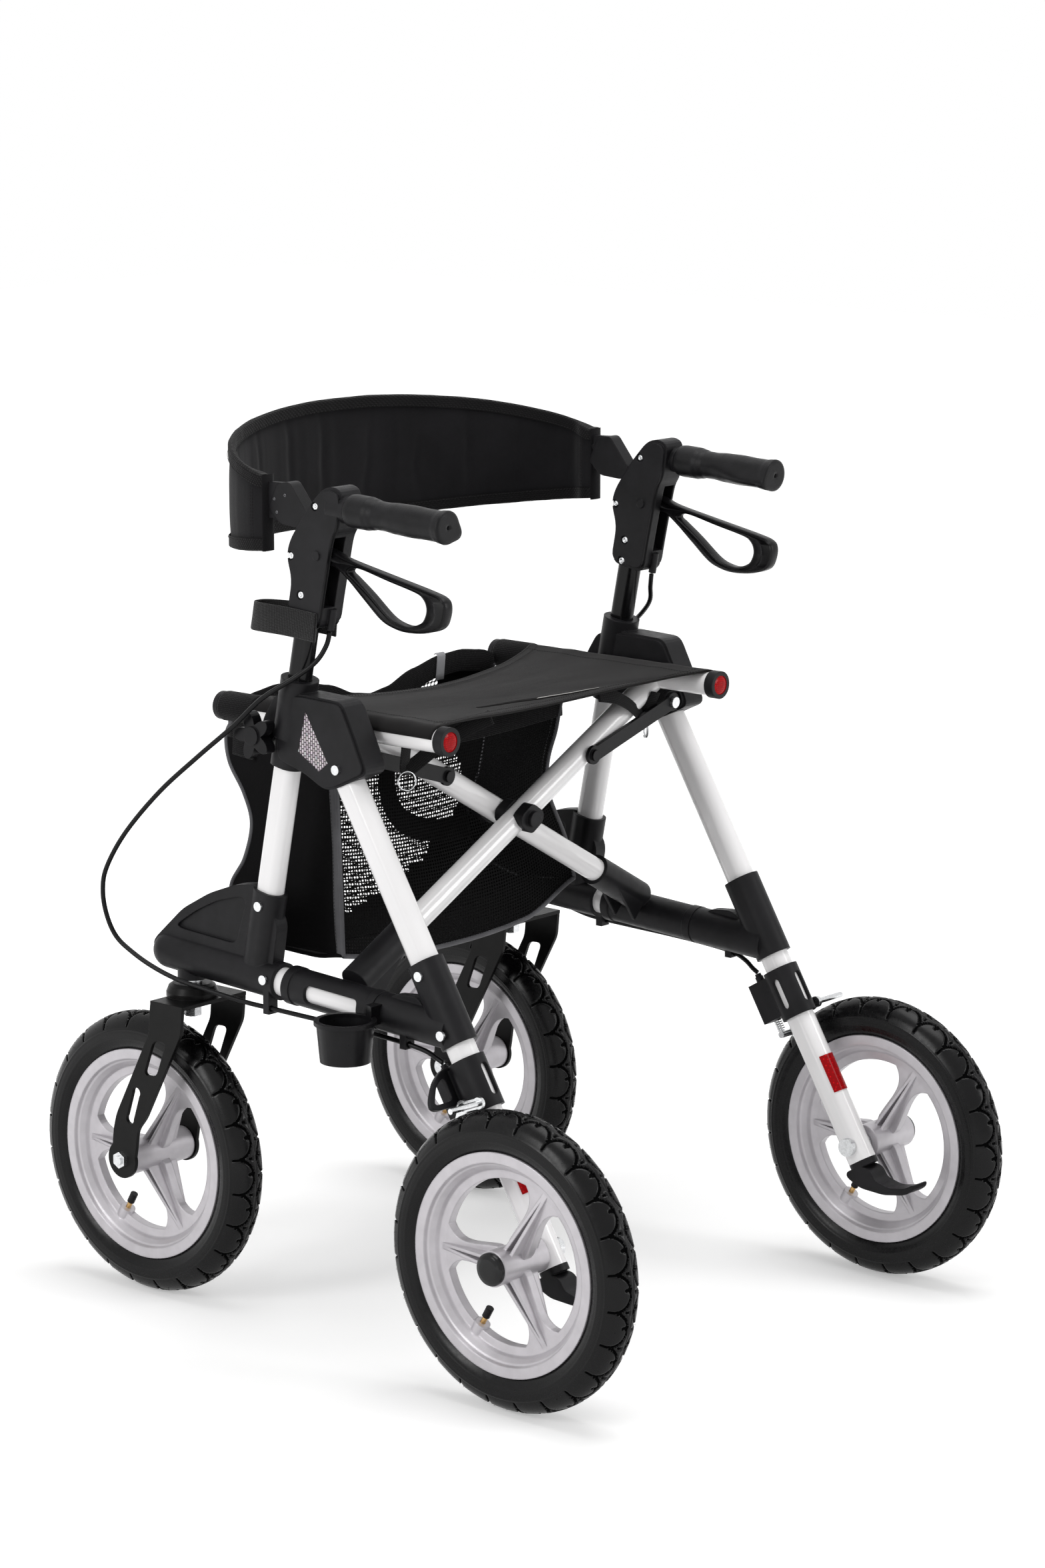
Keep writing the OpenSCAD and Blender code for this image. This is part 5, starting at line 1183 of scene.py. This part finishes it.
def lever_mesh(x_mid, half, edge):
    rows = ((-half, edge), (-half + 0.3 * edge, 0.3 * edge), (-half + edge, 0.0), (half - edge, 0.0),
            (half - 0.3 * edge, 0.3 * edge), (half, edge))
    verts, faces = [], []
    caps = ([], [])
    for loop, hand in ((closed_curve(LOOP_OUT, 6), 1), (closed_curve(LOOP_IN, 6), -1)):
        m = len(loop)
        base = len(verts)
        for x, by in rows:
            verts += [vec(x_mid + x, q.x, q.y) for q in inset(loop, hand * by)]
        for r in range(len(rows) - 1):
            for i in range(m):
                k = (i + 1) % m
                face = (base + r * m + i, base + r * m + k, base + (r + 1) * m + k, base + (r + 1) * m + i)
                faces.append(face if hand < 0 else face[::-1])
        caps[0].append(list(range(base, base + m)))
        caps[1].append(list(range(base + (len(rows) - 1) * m, base + len(rows) * m)))
    for rings, flip in zip(caps, (False, True)):
        order = [i for ring in rings for i in ring]
        flat = [[Vector((verts[i].y, verts[i].z, 0.0)) for i in ring] for ring in rings]
        for tri in tessellate_polygon(flat):
            a, b, c = (order[k] for k in tri)
            n = (verts[b] - verts[a]).cross(verts[c] - verts[a]).x
            faces.append((a, b, c) if (n > 0) == flip else (a, c, b))
    return mesh_of("lever", verts, faces)


for side, s in SIDES:
    o = link(side + "_lever_loop", lever_mesh(GRIP_X * s, 6.5, 2.2), SOFT_PLASTIC)
    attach(o, side + "_lever")
    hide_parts(side + "_brake_lever")


# reflectors
LENS = [(30.3, 650.0), (0.1, 600.7), (12.1, 591.3), (40.7, 608.4)]


def in_lens(q):
    inside = False
    for (ya, za), (yb, zb) in zip(LENS, LENS[1:] + LENS[:1]):
        if (za > q.z) != (zb > q.z) and q.y < ya + (q.z - za) / (zb - za) * (yb - ya):
            inside = not inside
    return inside and abs(q.x) > 266.2


def in_tail(q):
    return q.y < -111.2 and math.hypot(abs(q.x) - TUBE_X, q.z - TUBE_Z) < 10.6


def in_strip(q):
    y, z = q.y + AXLE_Y, q.z - TYRE_R
    up = y * math.sin(LEG_TILT) + z * math.cos(LEG_TILT)
    back = y * math.cos(LEG_TILT) - z * math.sin(LEG_TILT)
    return 57.5 < up < 99.5 and back < -8.0


for side, s in SIDES:
    paint(side + "_top_bracket", [(PRISM, in_lens)])
    paint(side + "_frame_fasteners", [(RED_STRIP, in_strip)])
for name in ("rear_cross_fittings", "front_cross_fittings"):
    paint(name, [(RED, in_tail)])


# screws and nuts in the mouldings
def screw_head(at, out, r, h, mat=ZINC):
    profile = [(0.0, h * 0.55), (r * 0.34, h * 0.5), (r * 0.36, h), (r * 0.72, h * 0.92),
               (r * 0.97, h * 0.45), (r, 0.0), (r, -0.8)]
    return revolve("head", profile, mat, at, out, 24)


def hex_nut(at, out, r, h):
    profile = [(0.0, h * 0.2), (1.7, h * 0.2), (1.8, h), (r * 0.86, h), (r, h * 0.5), (r, -1.0)]
    return revolve("nut", profile, ZINC, at, out, 6)


def on_upright(a, b):
    """World y and z of a point given along and up the leaning upright."""
    lean = math.radians(11.1)
    return 53 + a * math.cos(lean) - b * math.sin(lean), 679 + a * math.sin(lean) + b * math.cos(lean)


for side, s in SIDES:
    made = []
    for a, b, r in ((-2.8, 181.5, 3.4), (20.0, 124.0, 3.4), (0.0, 89.0, 4.2), (0.0, 66.0, 4.2)):
        y, z = on_upright(a, b)
        out = vec(s * 266.0, y, z)
        inn = vec(s * 236.0, y, z)
        if r < 4:
            made.append(hex_nut(out, Vector((s, 0, 0)), 3.9, 1.4))
        else:
            made.append(screw_head(out, Vector((s, 0, 0)), r, 1.7))
        made.append(screw_head(inn, Vector((-s, 0, 0)), r, 1.7))
    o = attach(join(side + "_housing_screws", made), side + "_handle")
    made = []
    for y, z in ((82.9, 856.8), (68.2, 861.6), (79.4, 843.8), (93.0, 849.0)):
        made.append(screw_head(vec(s * 254.5, y, z), Vector((s, 0, 0)), 1.9, 0.8, DARK_ZINC))
        made.append(screw_head(vec(s * 248.0, y, z), Vector((-s, 0, 0)), 1.9, 0.8, DARK_ZINC))
    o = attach(join(side + "_arm_screws", made), side + "_handle")

# cane strap: hook-and-loop band round the foot of the left housing, its loop standing forward
pts, ups = [], []
for y, x in ((14, -269.2), (30, -269.8), (56, -270.8), (80, -271.4), (98, -268.5), (107, -260.0),
             (104, -251.0), (90, -244.5), (66, -239.0), (44, -234.5), (30, -232.8), (20, -232.6)):
    pts.append(vec(x, y, 735.5 + 0.19 * (y - 30) * 0.25 + 2.0 * math.sin(y / 34.0)))
run = catmull(pts, 6)
for i, p in enumerate(run):
    t = (run[min(i + 1, len(run) - 1)] - run[max(i - 1, 0)]).normalized()
    ups.append(Vector((0, -0.19, 0.98)).cross(t))
strap = ribbon("cane_strap", run, ups, 29, 2.2, HOOK)
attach(strap, "left_handle")


# release straps and split rings under the seat
def split_ring(centre, normal, r, wire):
    n = normal.normalized()
    a = n.orthogonal().normalized()
    b = n.cross(a)
    pts = []
    for i in range(96):
        q = 4 * math.pi * i / 95
        rise = n * (wire * 0.9 * MM * (q / (4 * math.pi) - 0.5) * 2)
        pts.append(centre + (a * math.cos(q) + b * math.sin(q)) * (r * MM) + rise)
    return tube("ring", pts, wire * 0.5, ZINC, 8)


for s, body in ((-1, "front_cross"), (1, "rear_cross")):
    side = "left" if s < 0 else "right"
    made = []
    for run, lean in (
            (((196, -40, 615), (193, -36, 604), (190, -32, 594), (188, -31, 586)), 0),
            (((186, -33, 587), (172, -36, 595), (150, -42, 608), (118, -50, 621), (84, -54, 629)), 0.4)):
        made.append(ribbon("w", catmull(vecs(run, s), 6), Vector((0, -1, lean)), 15, 1.4, WEB))
    made.append(split_ring(vec(s * 188, -33, 576), Vector((0.5 * s, -1, 0.1)), 9.5, 1.3))
    o = join(side + "_release_strap", made)
    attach(o, body)


# stage, light, camera
def seen_white(tree, path):
    """1 for rays that should meet the white background: camera, glossy and transmission rays."""
    last = path.outputs["Is Camera Ray"]
    for name in ("Is Glossy Ray", "Is Transmission Ray"):
        m = tree.nodes.new("ShaderNodeMath")
        m.operation = "MAXIMUM"
        tree.links.new(last, m.inputs[0])
        tree.links.new(path.outputs[name], m.inputs[1])
        last = m.outputs[0]
    return last


floor = grid("floor", lambda u, v: Vector((mix(-9, 9, u), mix(-9, 9, v), -0.0006)), 1, 1, None)
n = Nodes("floor_white")
n.set(Roughness=1.0, Specular_IOR_Level=0.0, Base_Color=(0.80, 0.80, 0.80, 1))
glow = n.add("Emission", Color=(1, 1, 1, 1))
size = n.add("VectorMath", operation="LENGTH")
n.join(n.add("TexCoord"), "Object", size, 0)
fade = n.add("MapRange", interpolation_type="SMOOTHSTEP",
             From_Min=0.4, From_Max=2.2, To_Min=0.34, To_Max=0.80)
n.join(size, "Value", fade, "Value")
n.join(fade, "Result", glow, "Strength")
mixer = n.add("MixShader")
both = n.add("AddShader")
n.join(n.bsdf, "BSDF", both, 0)
n.join(glow, "Emission", both, 1)
n.t.links.new(seen_white(n.t, n.add("LightPath")), mixer.inputs["Fac"])
n.join(n.bsdf, "BSDF", mixer, 1)
n.join(both, "Shader", mixer, 2)
n.join(mixer, "Shader", n.out, "Surface")
floor.data.materials.append(n.m)

world = bpy.data.worlds.new("studio")
SCENE.world = world
world.use_nodes = True
wt = world.node_tree
wt.nodes.clear()
wo = wt.nodes.new("ShaderNodeOutputWorld")
ms = wt.nodes.new("ShaderNodeMixShader")
wt.links.new(seen_white(wt, wt.nodes.new("ShaderNodeLightPath")), ms.inputs["Fac"])
# the light that falls on the walker, then the white that is seen
for k, (colour, strength) in enumerate((((1.0, 0.995, 0.99, 1), 0.42), ((1, 1, 1, 1), 1.0))):
    sky = wt.nodes.new("ShaderNodeBackground")
    sky.inputs["Color"].default_value = colour
    sky.inputs["Strength"].default_value = strength
    wt.links.new(sky.outputs[0], ms.inputs[1 + k])
wt.links.new(ms.outputs[0], wo.inputs["Surface"])


def softbox(name, at, target, size, power, size_y=None):
    d = bpy.data.lights.new(name, "AREA")
    d.shape = "RECTANGLE"
    d.size = size
    d.size_y = size_y or size
    d.energy = power
    o = bpy.data.objects.new(name, d)
    SCENE.collection.objects.link(o)
    o.location = at
    o.rotation_euler = (Vector(target) - Vector(at)).to_track_quat("-Z", "Y").to_euler()


softbox("top", (0.2, -0.2, 3.6), (0, 0, 0.4), 2.4, 66)
softbox("left", (-3.4, 0.6, 1.9), (0, 0, 0.5), 1.1, 50, 2.0)
softbox("right", (1.4, -3.6, 1.7), (0, 0, 0.5), 1.0, 40, 2.0)

cam_data = bpy.data.cameras.new("camera")
cam = bpy.data.objects.new("camera", cam_data)
SCENE.collection.objects.link(cam)
cam.location = (-3.5108, -3.0680, 1.4737)
cam.rotation_euler = (math.radians(90 - 11.310), 0.0, math.radians(-48.906))
cam_data.sensor_width = 36.0
cam_data.sensor_fit = "AUTO"
cam_data.lens = 105.32
cam_data.shift_x = 0.00795
cam_data.shift_y = -0.0006
cam_data.clip_end = 60
SCENE.camera = cam
SCENE.view_settings.view_transform = "Standard"
